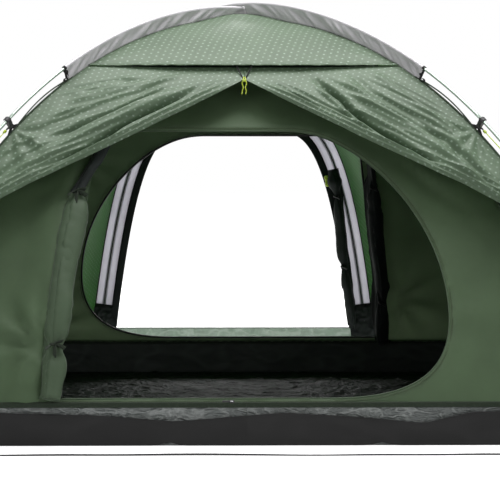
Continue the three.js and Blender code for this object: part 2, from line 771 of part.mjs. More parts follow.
function addGuy(lug, sideX, sideY, corner) {
  const peg = pegPoint(sideX, sideY);
  const away = point().subVectors(peg, lug).normalize();
  const start = lug.clone().addScaledVector(away, seamGap * 1.5);
  const end = peg.clone().addScaledVector(away, -(pegRadius + guyRadius + 2));
  const nodes = guyNodes(start, end);
  const across = point(-sideY, sideX, 0).normalize();
  add(`guy_line_${corner}`, carried(nodes, () => across, () => ring(guyRadius, guySides)), finishes.guy);

  // The runner: a flat three-holed slider that the line runs through.
  const at = Math.round(runnerShare * guySteps);
  const along = point().subVectors(nodes[at + 1], nodes[at - 1]).normalize();
  const ends = [-0.5, 0.5].map((half) => nodes[at].clone().addScaledVector(along, half * runnerLength));
  const body = carried(ends, () => across, () => strip(14, 9));
  const bore = [-1, 1].map((half) => nodes[at].clone().addScaledVector(along, half * runnerLength));
  add(`guy_runner_${corner}`, cut(body, carried(bore, () => across, () => ring(guyRadius + runnerClearance))),
    finishes.plastic);

  // The peg lies flat with its tip towards the tent and its hook standing over the line's end.
  const level = point(away.x, away.y, 0).normalize();
  const tip = peg.clone().addScaledVector(level, -pegLength);
  const neck = peg.clone().addScaledVector(level, 10);
  const over = neck.clone().add(point(0, 0, 16));
  const lip = over.clone().addScaledVector(level, -16);
  const shaft = carried([tip, peg, neck], () => across, () => ring(pegRadius));
  const post = carried([neck.clone().add(point(0, 0, -pegRadius)), over.clone().add(point(0, 0, pegRadius))],
    () => across, () => ring(pegRadius));
  const hook = carried([over.clone().addScaledVector(level, pegRadius * 0.5), lip],
    () => across, () => ring(pegRadius * 0.9));
  add(`peg_${corner}`, joined(shaft, post, hook), finishes.steel);
}

const corners = [
  [-1, -1, 'front_left'],
  [1, -1, 'front_right'],
  [-1, 1, 'rear_left'],
  [1, 1, 'rear_right'],
];
for (const [sideX, sideY, corner] of corners) {
  const lug = addHook(sideX, sideY, corner);
  addGuy(lug, sideX, sideY, corner);
}

// ---------------------------------------------------------------- feet
// A pad on the ground with the pin that plugs the pole and a ring for a peg outside it.
function footParts(ground, tip, next, outward) {
  const pad = new THREE.CylinderGeometry(padRadius, padRadius, padThickness, 12);
  pad.rotateX(Math.PI / 2);
  pad.translate(ground.x, ground.y, padThickness / 2);
  const into = point().subVectors(next, tip).normalize();
  const side = point(-outward.y, outward.x, 0);
  const base = ground.clone().setZ(padThickness / 2);
  const pin = carried([base, tip, tip.clone().addScaledVector(into, pinDepth)], () => side,
    () => ring(pinRadius));
  const loop = new THREE.TorusGeometry(pegRingRadius, padThickness / 2, 6, 12);
  const centre = ground.clone().addScaledVector(outward, padRadius + pegRingReach);
  loop.translate(centre.x, centre.y, padThickness / 2);
  return [pad, pin, loop];
}

for (const [sideX, sideY, corner] of corners) {
  const pole = sideX === sideY ? lowerNodes : upperNodes;
  const [tip, next] = sideY < 0 ? pole.slice(0, 2) : pole.slice(-2).reverse();
  const ground = point(sideX * footX, sideY * footY, 0);
  const outward = point(ground.x, ground.y, 0).normalize();
  const tubCorner = point((sideX * innerX) / 2, (sideY * innerY) / 2, 14);
  const side = point(-outward.y, outward.x, 0);
  const way = point().subVectors(ground, tubCorner).setZ(0).normalize();
  const start = tubCorner.clone().addScaledVector(way, seamGap * 1.5);
  const laid = start.clone().addScaledVector(way, 70).setZ(padThickness);
  const end = ground.clone().setZ(padThickness);
  const strap = carried([start, laid, end], () => side, () => strip(webbingWidth, webbingThickness));
  add(`corner_tab_${corner}`, joined(strap, ...footParts(ground, tip, next, outward)), finishes.webbing);
}

for (const side of [-1, 1]) {
  const [tip, next] = side < 0 ? hoopNodes.slice(0, 2) : hoopNodes.slice(-2).reverse();
  const ground = point(side * (porchHalfWidth + 1), porchY, 0);
  const name = side < 0 ? 'porch_foot_left' : 'porch_foot_right';
  add(name, joined(...footParts(ground, tip, next, point(0, 1, 0))), finishes.webbing);
}

// The strap on the ground that keeps the two front feet from spreading.
const strapHalf = footX - padRadius - seamGap - 0.5;
const strapLift = webbingThickness / 2 + 0.2;
const strapNodes = [-1, 1].map((side) => point(side * strapHalf, -footY, strapLift));
const strapShape = carried(strapNodes, () => point(0, 1, 0), () => strip(webbingWidth, webbingThickness));
add('front_ground_strap', strapShape, finishes.webbing);

// ---------------------------------------------------------------- zip sliders and the fly's pull
function zipSlider(front) {
  const share = innerShareAt(doorSill - 8);
  const slope = innerHip(share + 0.005).sub(innerHip(share - 0.005));
  const outward = point(0, -slope.z, slope.y).normalize();
  const centre = point(40, innerHip(share).y, innerHip(share).z).addScaledVector(outward, 3 + seamGap * 2);
  const body = carried([centre.clone().setX(33), centre.clone().setX(47)], () => outward, () => strip(6, 9));
  const tag = carried([centre.clone().setX(46), centre.clone().setX(72)], () => outward, () => strip(2.4, 5));
  const slider = joined(body, tag);
  slider.applyMatrix4(new THREE.Matrix4().makeRotationZ(front ? Math.PI : 0));
  return slider;
}

add('front_zip_slider', zipSlider(true), finishes.plastic);
add('rear_zip_slider', zipSlider(false), finishes.plastic);

// The cord loop that hangs from the fly zip's slider, where the two doors part.
const pullShare = ridgeShareAt(wingApex - 2);
const pullFall = ridge(pullShare + 0.01).sub(ridge(pullShare - 0.01));
const pullOut = point(0, pullFall.z, pullFall.y).normalize();
const pullSeat = point(0, wingSetback - ridge(pullShare).y, ridge(pullShare).z);
const headCentre = pullSeat.clone().addScaledVector(pullOut, 2.5 + 2 * seamGap);
const headEnds = [-6, 6].map((x) => headCentre.clone().setX(x));
const pullHead = carried(headEnds, () => pullOut, () => strip(5, 9));
const strandAt = (x, fall) => point(x, headCentre.y - 4, headCentre.z - fall);
const pullCurve = new THREE.CatmullRomCurve3([
  strandAt(-pullWidth / 2, 0),
  strandAt(-pullWidth / 2, pullLength * 0.6),
  strandAt(0, pullLength),
  strandAt(pullWidth / 2, pullLength * 0.6),
  strandAt(pullWidth / 2, 0),
]);
const pullNodes = pullCurve.getSpacedPoints(14);
const pullLoop = carried(pullNodes, () => point(0, 1, 0), () => ring(guyRadius, 6));
add('fly_zip_pull', joined(pullHead, pullLoop), finishes.guy);

export default group;
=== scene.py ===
"""A dome tent on two crossing poles with a rear porch, dressed for a studio picture.

Metres, +Z up, the front towards -Y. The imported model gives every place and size. This script adds the
cloth with its folds, seams, zips and stitches, the poles, the webbing and the guy lines.
"""

import json
import math

import bmesh
import bpy
import numpy as np
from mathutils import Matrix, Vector
from mathutils.geometry import delaunay_2d_cdt


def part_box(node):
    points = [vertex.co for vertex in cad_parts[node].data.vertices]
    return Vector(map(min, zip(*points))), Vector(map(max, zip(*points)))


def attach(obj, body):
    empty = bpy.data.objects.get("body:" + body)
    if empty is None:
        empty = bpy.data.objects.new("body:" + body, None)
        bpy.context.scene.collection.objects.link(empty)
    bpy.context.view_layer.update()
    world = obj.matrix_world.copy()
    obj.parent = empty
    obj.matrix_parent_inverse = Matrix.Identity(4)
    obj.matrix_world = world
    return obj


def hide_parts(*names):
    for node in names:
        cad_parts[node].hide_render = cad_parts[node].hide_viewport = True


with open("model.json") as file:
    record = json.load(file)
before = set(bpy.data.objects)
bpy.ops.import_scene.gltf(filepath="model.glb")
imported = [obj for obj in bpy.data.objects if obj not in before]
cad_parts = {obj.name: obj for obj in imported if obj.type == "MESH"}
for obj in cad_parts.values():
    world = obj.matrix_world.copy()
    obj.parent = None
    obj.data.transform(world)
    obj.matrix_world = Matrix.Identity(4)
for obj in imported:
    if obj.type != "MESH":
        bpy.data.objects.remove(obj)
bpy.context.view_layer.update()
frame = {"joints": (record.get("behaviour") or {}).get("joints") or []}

# ---- sizes of the tent
CROWN = 1.18  # centre of the lower pole where the poles cross
ROUNDNESS = 0.74
FOOT_X = 1.05
FOOT_Y = 1.25
SPAN = math.hypot(FOOT_X, FOOT_Y)
FOOT_RISE = 0.02
POLE_RADIUS = 0.00425
POLE_SECTIONS = 4
CROSSING_LIFT = 0.0126
CROSSING_WIDTH = 0.22
SLEEVE_END = 0.47  # share of the half span
FLY_DROP = 0.034
FLY_DROP_CROWN = 0.016
DROP_FADE = 0.15
HOOK_SHARE = 0.604
FLY_HEM = 0.045
SIDE_INSET = 0.0034
FRONT_INSET = 0.0025
INNER_X = 1.8
INNER_Y = 2.1
INNER_CROWN = 1.085
TUB_HEIGHT = 0.1
BROW_HEM = 0.99
BROW_FLARE = 0.016
DOOR_TUCK_TOP = 0.98
DOOR_APEX = 0.952
DOOR_SILL = 0.12
DOOR_TOP = 0.81
PORCH_Y = 2.35
PORCH_HALF_WIDTH = 0.53
PORCH_HEIGHT = 0.9
PORCH_SQUARENESS = 5.5
PORCH_SLEEVE_REACH = 0.035
PORCH_SLEEVE_FOOT = 0.155
PORCH_BORDER = 0.025
PORCH_SILL = 0.06
CLOTH = 0.0007  # a sheet of cloth as it is drawn
STITCH_LIFT = 0.0003
BORE = 0.0051  # radius of what slips over a pole
FLOOR_X = 0.8985  # half of the laid groundsheet
FLOOR_Y = 1.0485
FLAP_POINTS = 17  # in the section of a rolled door
ROLL_ROWS = 90
SECTION_STEPS = 60  # along one section of a pole
SIDE_NAMES = {-1: "left", 1: "right"}
CORNERS = [(-1, -1, "front_left"), (1, -1, "front_right"), (-1, 1, "rear_left"), (1, 1, "rear_right")]


# ---- camera
def place_camera():
    camera = bpy.data.objects.new("camera", bpy.data.cameras.new("camera"))
    camera.data.lens = 173.3
    camera.data.sensor_width = 36
    camera.data.clip_end = 100
    camera.location = (-0.1, -7.19, 0.742)
    camera.rotation_euler = (math.radians(90 - 2.24), 0, math.radians(-1.0))
    bpy.context.collection.objects.link(camera)
    bpy.context.scene.camera = camera


place_camera()


# ---- node trees
def put(tree, kind, inputs=None, **settings):
    """Adds a node, sets its own settings and fills or links its inputs, by name or by number."""
    made = tree.nodes.new(kind)
    for name, value in settings.items():
        setattr(made, name, value)
    for key, value in (inputs or {}).items():
        if isinstance(value, bpy.types.NodeSocket):
            tree.links.new(value, made.inputs[key])
        else:
            made.inputs[key].default_value = value
    return made


def shader(tree, kind, inputs, output=0, **settings):
    """One output of a new shader node."""
    return put(tree, "ShaderNode" + kind, inputs, **settings).outputs[output]


def calculate(tree, operation, *values):
    return shader(tree, "Math", dict(enumerate(values)), operation=operation)


def times(tree, first, second):
    return calculate(tree, "MULTIPLY", first, second)


def plus(tree, first, second):
    return calculate(tree, "ADD", first, second)


def on_vector(tree, operation, *values):
    return shader(tree, "VectorMath", dict(enumerate(values)), operation=operation)


def scaled_vector(tree, vector, factor):
    return shader(tree, "VectorMath", {0: vector, 3: factor}, operation="SCALE")


def blend_colours(tree, share, first, second):
    return shader(tree, "Mix", {0: share, 6: first, 7: second}, output=2, data_type="RGBA")


def from_range(tree, value, low, high, to_low=0.0, to_high=1.0, smooth=True):
    inputs = {0: value, 1: low, 2: high, 3: to_low, 4: to_high}
    return shader(tree, "MapRange", inputs, interpolation_type="SMOOTHSTEP" if smooth else "LINEAR")


def bumped(tree, height, strength, distance, before=None):
    """A bump, on top of another where there is one before it."""
    inputs = {"Strength": strength, "Distance": distance, "Height": height}
    if before:
        inputs["Normal"] = before
    return shader(tree, "Bump", inputs)


def rgba(red, green, blue):
    return (red, green, blue, 1.0)


def start_material(name):
    material = bpy.data.materials.new(name)
    material.use_nodes = True
    tree = material.node_tree
    tree.nodes.clear()
    return material, tree


def finish_material(tree, surface):
    put(tree, "ShaderNodeOutputMaterial", {"Surface": surface})


def coat(tree, inputs, glow=None, see_through=0.0):
    """The last nodes of a material: its surface, and the light that comes through it."""
    surface = shader(tree, "BsdfPrincipled", inputs)
    if glow:
        back = shader(tree, "BsdfTranslucent", {"Color": glow})
        surface = shader(tree, "MixShader", {0: see_through, 1: surface, 2: back})
    finish_material(tree, surface)


def coordinates(tree, which="UV"):
    return put(tree, "ShaderNodeTexCoord").outputs[which]


def noise_at(tree, where, scale, detail=3.0, roughness=0.55):
    inputs = {"Vector": where, "Scale": scale, "Detail": detail, "Roughness": roughness}
    return shader(tree, "TexNoise", inputs)


def weave_at(tree, where, pitch):
    """Plain weave of metre-scaled cloth: two sets of threads, one across the other."""
    scale = 1.0 / pitch
    warp = {"Vector": where, "Scale": scale, "Distortion": 0.0}
    across = shader(tree, "TexWave", warp, "Fac", bands_direction="X")
    along = shader(tree, "TexWave", warp, "Fac", bands_direction="Y")
    return times(tree, across, along)


def ripstop_at(tree, where, pitch):
    """The thicker threads of a ripstop cloth, as a faint grid."""
    parts = put(tree, "ShaderNodeSeparateXYZ", {0: where})
    lines = []
    for axis in (0, 1):
        cell = calculate(tree, "FRACT", calculate(tree, "DIVIDE", parts.outputs[axis], pitch))
        edge = calculate(tree, "ABSOLUTE", calculate(tree, "SUBTRACT", cell, 0.5))
        lines.append(from_range(tree, edge, 0.44, 0.5))
    return calculate(tree, "MAXIMUM", *lines)


def ridged_at(tree, where, scale, detail=3.0, sharpness=0.1):
    """Sharp creases that wander, as thin bright lines on a dark ground."""
    level = noise_at(tree, where, scale, detail=detail, roughness=0.5)
    gap = calculate(tree, "ABSOLUTE", calculate(tree, "SUBTRACT", level, 0.5))
    return from_range(tree, gap, sharpness, 0.0)


def dots_at(tree, where, pitch, radius, turn):
    """Round dots in a six-sided lattice, softened at their rims: 1 inside a dot."""
    turned = shader(tree, "Mapping", {"Vector": where, "Rotation": (0, 0, turn)})
    scaled = scaled_vector(tree, turned, 1.0 / pitch)
    half = (0.5, math.sqrt(0.75), 0.5)
    low = tuple(-side for side in half)
    distances = []
    for offset in ((0, 0, 0), half):
        cell = on_vector(tree, "WRAP", on_vector(tree, "ADD", scaled, offset), half, low)
        flat = on_vector(tree, "MULTIPLY", cell, (1, 1, 0))
        distances.append(shader(tree, "VectorMath", {0: flat}, output="Value", operation="LENGTH"))
    nearest = calculate(tree, "MINIMUM", *distances)
    share = radius / pitch
    return from_range(tree, nearest, share * 1.25, share * 0.75)


def cloth_material(name, colour, through, roughness=0.55, see_through=0.25, weave=0.0011, dots=None,
                   crease=0.0, crease_size=0.03, sheen=0.15, variation=0.1, shine=0.45):
    """Woven cloth that lets some light through, with its weave, faint creases and uneven dye."""
    material, tree = start_material(name)
    where = coordinates(tree)
    uneven = noise_at(tree, where, 5.0, detail=4.0)
    shade = from_range(tree, uneven, 0.3, 0.7, 1 - variation, 1 + variation, smooth=False)
    dyed = surface = scaled_vector(tree, colour, shade)
    glow = scaled_vector(tree, through, shade)
    if dots:
        spots = dots_at(tree, where, dots["pitch"], dots["radius"], dots["turn"])
        faded = noise_at(tree, where, 60.0, detail=2.0)
        spots = times(tree, spots, from_range(tree, faded, 0.25, 0.6, 0.55, 1.0))
        surface = blend_colours(tree, spots, dyed, rgba(*dots["colour"]))
        glow = blend_colours(tree, times(tree, spots, 0.55), glow, rgba(*dots["shadow"]))
    threads = weave_at(tree, where, weave)
    grid = ripstop_at(tree, where, 0.005)
    relief = plus(tree, threads, times(tree, grid, 0.6))
    bump = bumped(tree, relief, 0.25, 0.00025)
    if crease:
        sharp = ridged_at(tree, where, 0.35 / crease_size, sharpness=0.07)
        soft = noise_at(tree, where, 0.6 / crease_size, detail=5.0, roughness=0.6)
        folds = plus(tree, times(tree, sharp, 0.4), soft)
        bump = bumped(tree, folds, 1.0, crease, bump)
    coat(tree, {"Base Color": surface, "Roughness": roughness, "Specular IOR Level": shine,
                "Sheen Weight": sheen, "Sheen Roughness": 0.4, "Normal": bump}, glow, see_through)
    return material


def webbing_material(name, colour, rib=0.0016):
    """Woven tape: ribs across it with a herringbone between them."""
    material, tree = start_material(name)
    where = coordinates(tree)
    wavy = {"Vector": where, "Scale": 0.5 / rib, "Distortion": 0.6, "Detail": 1.0}
    ribs = shader(tree, "TexWave", wavy, "Fac", bands_direction="DIAGONAL")
    edge = shader(tree, "TexWave", {"Vector": where, "Scale": 0.35 / rib}, "Fac", bands_direction="Y")
    relief = plus(tree, ribs, times(tree, edge, 0.7))
    worn = noise_at(tree, where, 90.0, detail=4.0)
    lighter = tuple(min(1.0, value * 2.2 + 0.01) for value in colour)
    share = times(tree, from_range(tree, worn, 0.5, 0.8), 0.5)
    dyed = blend_colours(tree, share, rgba(*colour), rgba(*lighter))
    coat(tree, {"Base Color": dyed, "Roughness": 0.8, "Sheen Weight": 0.08, "Sheen Roughness": 0.5,
                "Specular IOR Level": 0.25, "Normal": bumped(tree, relief, 0.7, 0.0005)})
    return material


def cord_material(name, colour, fleck):
    """Braided cord with a lighter tracer thread wound along it."""
    material, tree = start_material(name)
    where = coordinates(tree)
    wound = {"Vector": where, "Scale": 260.0, "Distortion": 0.3}
    braid = shader(tree, "TexWave", wound, "Fac", bands_direction="DIAGONAL")
    tracer = shader(tree, "TexWave", {"Vector": where, "Scale": 40.0}, "Fac", bands_direction="DIAGONAL")
    mark = from_range(tree, tracer, 0.86, 0.95)
    dyed = blend_colours(tree, times(tree, mark, 0.6), rgba(*colour), rgba(*fleck))
    coat(tree, {"Base Color": dyed, "Roughness": 0.55, "Sheen Weight": 0.2,
                "Normal": bumped(tree, braid, 0.6, 0.0004)})
    return material


def metal_material(name, colour, roughness, brushed=0.08):
    """Drawn or anodised metal with fine lines along it and faint handling marks."""
    material, tree = start_material(name)
    where = shader(tree, "Mapping", {"Vector": coordinates(tree), "Scale": (400.0, 6.0, 1.0)})
    lines = noise_at(tree, where, 4.0, detail=4.0)
    marks = noise_at(tree, coordinates(tree, "Object"), 35.0, detail=5.0)
    dull = from_range(tree, marks, 0.3, 0.75, roughness - 0.06, roughness + 0.12, smooth=False)
    darker = tuple(value * 0.8 for value in colour)
    dyed = blend_colours(tree, from_range(tree, lines, 0.3, 0.7), rgba(*darker), rgba(*colour))
    coat(tree, {"Base Color": dyed, "Roughness": dull, "Metallic": 1.0,
                "Normal": bumped(tree, lines, brushed, 0.0002)})
    return material


def plastic_material(name, colour, roughness=0.42, grain=0.00012):
    """Moulded plastic with a fine spark-eroded grain and rubbed edges."""
    material, tree = start_material(name)
    where = coordinates(tree, "Object")
    fine = noise_at(tree, where, 1500.0, detail=2.0)
    rubbed = noise_at(tree, where, 60.0, detail=5.0)
    lighter = tuple(min(1.0, value * 1.8 + 0.012) for value in colour)
    dyed = blend_colours(tree, from_range(tree, rubbed, 0.45, 0.75, 0.0, 0.6), rgba(*colour), rgba(*lighter))
    dull = from_range(tree, rubbed, 0.3, 0.7, roughness, roughness + 0.12, smooth=False)
    coat(tree, {"Base Color": dyed, "Roughness": dull, "Normal": bumped(tree, fine, 0.3, grain)})
    return material


def coated_material(name, colour, pale, roughness=0.34, crease=0.0016, size=0.028, stretch=0.5, shine=0.5,
                    see_through=0.0):
    """Coated groundsheet cloth: creased across its width, with painted highlights in a paler colour along its
    sharp creases.
    """
    material, tree = start_material(name)
    where = coordinates(tree)
    long = shader(tree, "Mapping", {"Vector": where, "Scale": (stretch, 1.0, 1.0)})
    bent = shader(tree, "TexNoise", {"Vector": long, "Scale": 0.3 / size}, "Color")
    moved = on_vector(tree, "MULTIPLY_ADD", bent, (size, size, 0), long)
    coarse = ridged_at(tree, moved, 0.45 / size, detail=2.0, sharpness=0.12)
    fine = ridged_at(tree, moved, 1.2 / size, detail=2.0, sharpness=0.14)
    soft = noise_at(tree, moved, 0.5 / size, detail=4.0, roughness=0.55)
    plates = plus(tree, coarse, times(tree, fine, 0.4))
    folds = plus(tree, plates, times(tree, soft, 2.4))
    # Painted highlights: the sharp crease ridges are blended towards the paler colour.
    rim = times(tree, calculate(tree, "POWER", coarse, 3.0), 0.45)
    dyed = blend_colours(tree, rim, rgba(*colour), rgba(*pale))
    grid = ripstop_at(tree, where, 0.005)
    bump = bumped(tree, folds, 1.0, crease, bumped(tree, grid, 0.2, 0.0002))
    dull = from_range(tree, soft, 0.3, 0.7, roughness - 0.05, roughness + 0.1, smooth=False)
    coat(tree, {"Base Color": dyed, "Roughness": dull, "Specular IOR Level": shine, "Normal": bump},
         dyed, see_through)
    return material


DOTS = {"pitch": 0.0188, "radius": 0.0027, "turn": 0.3, "colour": (0.4, 0.53, 0.4),
        "shadow": (0.02, 0.05, 0.02)}
looks = {
    "fly": cloth_material("fly_cloth", (0.124, 0.184, 0.114), (0.34, 0.5, 0.29), dots=DOTS,
                          roughness=0.5, see_through=0.3, crease=0.0006, crease_size=0.09, shine=0.4),
    "inner": cloth_material("inner_cloth", (0.086, 0.135, 0.071), (0.62, 0.72, 0.55), roughness=0.62,
                            see_through=0.31, crease=0.0006, crease_size=0.12, shine=0.35),
    # A darker copy of the inner cloth for the rolled front door: partly its reverse face, partly painted
    # shade on the roll.
    "roll": cloth_material("inner_roll_cloth", (0.057, 0.091, 0.049), (0.3, 0.38, 0.26), roughness=0.62,
                           see_through=0.08, crease=0.0008, crease_size=0.05, shine=0.35),
    "porch": cloth_material("porch_cloth", (0.085, 0.16, 0.075), (0.12, 0.34, 0.08), dots=DOTS,
                            roughness=0.6, see_through=0.42, crease=0.0006, crease_size=0.09, shine=0.2),
    "sleeve": cloth_material("sleeve_cloth", (0.74, 0.72, 0.75), (0.4, 0.38, 0.42), roughness=0.38,
                             see_through=0.15, crease=0.0007, crease_size=0.03, shine=0.6),
    "strip": cloth_material("porch_sleeve_cloth", (0.5, 0.49, 0.515), (0.72, 0.71, 0.75), roughness=0.6,
                            see_through=0.55, crease=0.0003, crease_size=0.06),
    "black": cloth_material("black_cloth", (0.01, 0.014, 0.013), (0.01, 0.015, 0.012), roughness=0.7,
                            see_through=0.02, crease=0.0005, crease_size=0.05, sheen=0.05, shine=0.3),
    "tub": coated_material("tub_cloth", (0.015, 0.0215, 0.0155), (0.03, 0.046, 0.034), roughness=0.6,
                           crease=0.004, size=0.022, shine=0.03),
    "tub_inside": coated_material("tub_inner_face", (0.03, 0.037, 0.033), (0.06, 0.07, 0.065),
                                  roughness=0.6, size=0.05, shine=0.2),
    "skirt": coated_material("skirt_cloth", (0.0125, 0.0125, 0.0125), (0.022, 0.022, 0.022), roughness=0.6,
                             crease=0.0005, size=0.08, shine=0.2),
    "band": coated_material("tub_band_cloth", (0.1, 0.112, 0.107), (0.34, 0.36, 0.35), roughness=0.34,
                            crease=0.004, size=0.014, stretch=0.45),
    "sill": coated_material("sill_cloth", (0.6, 0.67, 0.61), (0.84, 0.88, 0.84), roughness=0.3, size=0.02,
                            see_through=0.4),
    "webbing": webbing_material("webbing", (0.007, 0.007, 0.008)),
    "binding": webbing_material("binding", (0.009, 0.008, 0.009), rib=0.0009),
    "green_tape": webbing_material("green_tape", (0.04, 0.064, 0.036), rib=0.0009),
    "seam_tape": webbing_material("seam_tape", (0.02, 0.031, 0.018), rib=0.0012),
    "guy": cord_material("guy_cord", (0.62, 0.78, 0.02), (0.85, 0.9, 0.55)),
    "thread": cord_material("thread", (0.16, 0.23, 0.15), (0.3, 0.38, 0.28)),
    "black_thread": cord_material("black_thread", (0.02, 0.02, 0.02), (0.06, 0.06, 0.06)),
    "pole": metal_material("pole_alloy", (0.46, 0.55, 0.48), 0.28, brushed=0.02),
    "ferrule": metal_material("ferrule_alloy", (0.5, 0.52, 0.52), 0.28),
    "steel": metal_material("peg_steel", (0.5, 0.51, 0.52), 0.32),
    "plastic": plastic_material("black_plastic", (0.01, 0.01, 0.011)),
    "zip": plastic_material("zip_coil", (0.07, 0.095, 0.05), roughness=0.6),
    "black_zip": plastic_material("black_zip_coil", (0.014, 0.014, 0.014), roughness=0.4),
    "piping": plastic_material("green_piping", (0.045, 0.072, 0.038), roughness=0.6),
}


# ---- meshes
def together(*parts):
    """Coordinates side by side, as points."""
    return np.stack(parts, axis=-1)


def end_to_end(*parts):
    return np.concatenate(parts)


def shares_down(count):
    """Even shares from 0 to 1, one in each row."""
    return np.linspace(0, 1, count)[:, None]


def lengths_of(vectors):
    return np.linalg.norm(vectors, axis=-1)


def arched(share):
    """0 at both ends of a share from 0 to 1, and 1 in its middle."""
    return np.sin(math.pi * share)


def hump(offset, width):
    """1 where the offset is 0, falling away smoothly on both sides."""
    return np.exp(-((offset / width) ** 2))


def unit(vectors):
    vectors = np.asarray(vectors, float)
    return vectors / np.maximum(np.linalg.norm(vectors, axis=-1, keepdims=True), 1e-12)


def mesh_object(name, points, faces, corner_uvs=None, smooth=True):
    """A mesh object from arrays. faces is a list of corner lists, corner_uvs one pair for each corner."""
    mesh = bpy.data.meshes.new(name)
    mesh.from_pydata(np.asarray(points, float).tolist(), [], [list(map(int, face)) for face in faces])
    if corner_uvs is not None:
        layer = mesh.uv_layers.new(name="UVMap")
        layer.data.foreach_set("uv", np.asarray(corner_uvs, np.float32).ravel())
    mesh.polygons.foreach_set("use_smooth", np.full(len(mesh.polygons), smooth))
    mesh.update()
    made = bpy.data.objects.new(name, mesh)
    bpy.context.collection.objects.link(made)
    return made


def belongs(piece, look, body="tent", nodes=()):
    """Gives a finished piece its material, its body and the nodes that it stands for."""
    piece.data.materials.clear()
    piece.data.materials.append(looks[look])
    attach(piece, body)
    if nodes:
        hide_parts(*nodes)
    return piece


def grid_faces(rows, columns, round_closed=False):
    wide = columns if round_closed else columns - 1
    row = np.arange(rows - 1)[:, None]
    column = np.arange(wide)[None, :]
    near = row * columns + column
    far = row * columns + (column + 1) % columns
    return together(near, far, far + columns, near + columns).reshape(-1, 4)


def corner_uvs_of_grid(u, v):
    """u and v are arrays of the grid's own shape, with one more column where the grid closes on itself."""
    flat = together(u, v)
    corners = np.stack([flat[:-1, :-1], flat[:-1, 1:], flat[1:, 1:], flat[1:, :-1]], axis=2)
    return corners.reshape(-1, 2)


def turned_over(faces, uvs):
    """The same four-sided faces seen from behind."""
    return faces[:, ::-1], uvs.reshape(-1, 4, 2)[:, ::-1].reshape(-1, 2)


def running_sum(steps):
    return end_to_end([0], np.cumsum(steps))


def enclosed_volume(points, faces):
    a = points[faces[:, 0]]
    total = 0.0
    for second, third in ((1, 2), (2, 3)):
        total += np.einsum("ij,ij->i", a, np.cross(points[faces[:, second]], points[faces[:, third]])).sum()
    return total / 6


def skin(name, rings, look, body="tent", nodes=(), smooth=True, capped=True):
    """A closed surface over rings of points, one ring after another, with flat ends."""
    rings = np.asarray(rings, float)
    count, size = rings.shape[:2]
    faces = grid_faces(count, size, round_closed=True)
    around = lengths_of(np.roll(rings, -1, axis=1) - rings).mean(axis=0)
    along = lengths_of(np.diff(rings.mean(axis=1), axis=0))
    u = np.broadcast_to(running_sum(around), (count, size + 1))
    v = np.broadcast_to(running_sum(along)[:, None], (count, size + 1))
    uvs = corner_uvs_of_grid(u, v)
    points = rings.reshape(-1, 3)
    if enclosed_volume(points, faces) < 0:
        faces, uvs = turned_over(faces, uvs)
        first, last = list(range(size)), list(range((count - 1) * size, count * size))[::-1]
    else:
        first, last = list(range(size))[::-1], list(range((count - 1) * size, count * size))
    every = faces.tolist()
    if capped:
        every += [first, last]
        flat = rings[0] - rings[0].mean(axis=0)
        cap = together(flat @ unit(flat[0]), flat @ unit(np.cross(flat[0], flat[size // 4 or 1])))
        uvs = end_to_end(uvs, cap[first], cap[[index % size for index in last]])
    piece = mesh_object(name, points, every, uvs, smooth)
    return belongs(piece, look, body, nodes)


def grid_normals(points, heart):
    """Unit normals of a grid of points, away from the heart, and whether its own order turns them round."""
    normals = unit(np.cross(np.gradient(points, axis=1), np.gradient(points, axis=0)))
    turned = np.einsum("ijk,ijk->ij", normals, points - np.asarray(heart)).mean() < 0
    return (-normals if turned else normals), turned


def grid_area(points):
    diagonals = points[1:, 1:] - points[:-1, :-1], points[1:, :-1] - points[:-1, 1:]
    return 0.5 * lengths_of(np.cross(*diagonals)).sum()


class Cloth:
    """A sheet over a grid of points, raised by a relief along its normals, with a real thickness."""

    def __init__(self, name, points, relief, look, nodes=(), heart=(0, 0, 0.3), unrolled=None,
                 held="stretched", cut=None):
        points = np.asarray(points, float)
        normals, turned = grid_normals(points, heart)
        self.points = points + normals * np.asarray(relief)[..., None]
        self.normals, _ = grid_normals(self.points, heart)
        unrolled = unrolled or self.unroll(points)
        faces = grid_faces(*points.shape[:2])
        uvs = corner_uvs_of_grid(*unrolled)
        # The grid's normals follow across x down, and its faces run the same way round.
        if turned:
            faces, uvs = turned_over(faces, uvs)
        self.piece = mesh_object(name, self.points.reshape(-1, 3), faces, uvs)
        thicken(self.piece, CLOTH)
        belongs(self.piece, look, nodes=nodes)

    @staticmethod
    def unroll(points):
        """Metre-scaled pattern coordinates: across from the middle column, and down along that column."""
        middle = points.shape[1] // 2
        steps = lengths_of(np.diff(points, axis=1))
        across = np.concatenate([np.zeros((len(points), 1)), np.cumsum(steps, axis=1)], axis=1)
        across -= across[:, middle:middle + 1]
        fall = lengths_of(np.diff(points[:, middle], axis=0))
        return across, np.broadcast_to(running_sum(fall)[:, None], across.shape)

    @staticmethod
    def cut_size(unrolled, area):
        width, length = (float(np.ptp(values)) for values in unrolled)
        if area > width * length:
            length = area / width * 1.001
        return (round(width, 3), round(length, 3))

    def line(self, row, lift=0.0):
        """The points and normals of a row of the grid, a share of the way down it, a little raised."""
        points, normals = self.points, self.normals
        place = row * (len(points) - 1)
        low = min(int(place), len(points) - 2)
        part = place - low
        normal = normals[low] * (1 - part) + normals[low + 1] * part
        return points[low] * (1 - part) + points[low + 1] * part + normal * lift, normal

    def above_hem(self, length, rises=(0.003, 0.013)):
        """Lines for the stitches of a hem, on a panel of this length."""
        return [self.line(row=1 - rise / length, lift=STITCH_LIFT)[0] for rise in rises]


def thicken(piece, thickness, offset=-1.0):
    solid = piece.modifiers.new("thickness", "SOLIDIFY")
    solid.thickness = thickness
    solid.offset = offset
    return solid


# ---- lines and what follows them
def lengths_along(path):
    return running_sum(lengths_of(np.diff(path, axis=0)))


def away_from_end(path, end):
    """The way along a line from its first point, or back from its last."""
    return unit(path[1] - path[0]) if end == 0 else unit(path[-2] - path[-1])


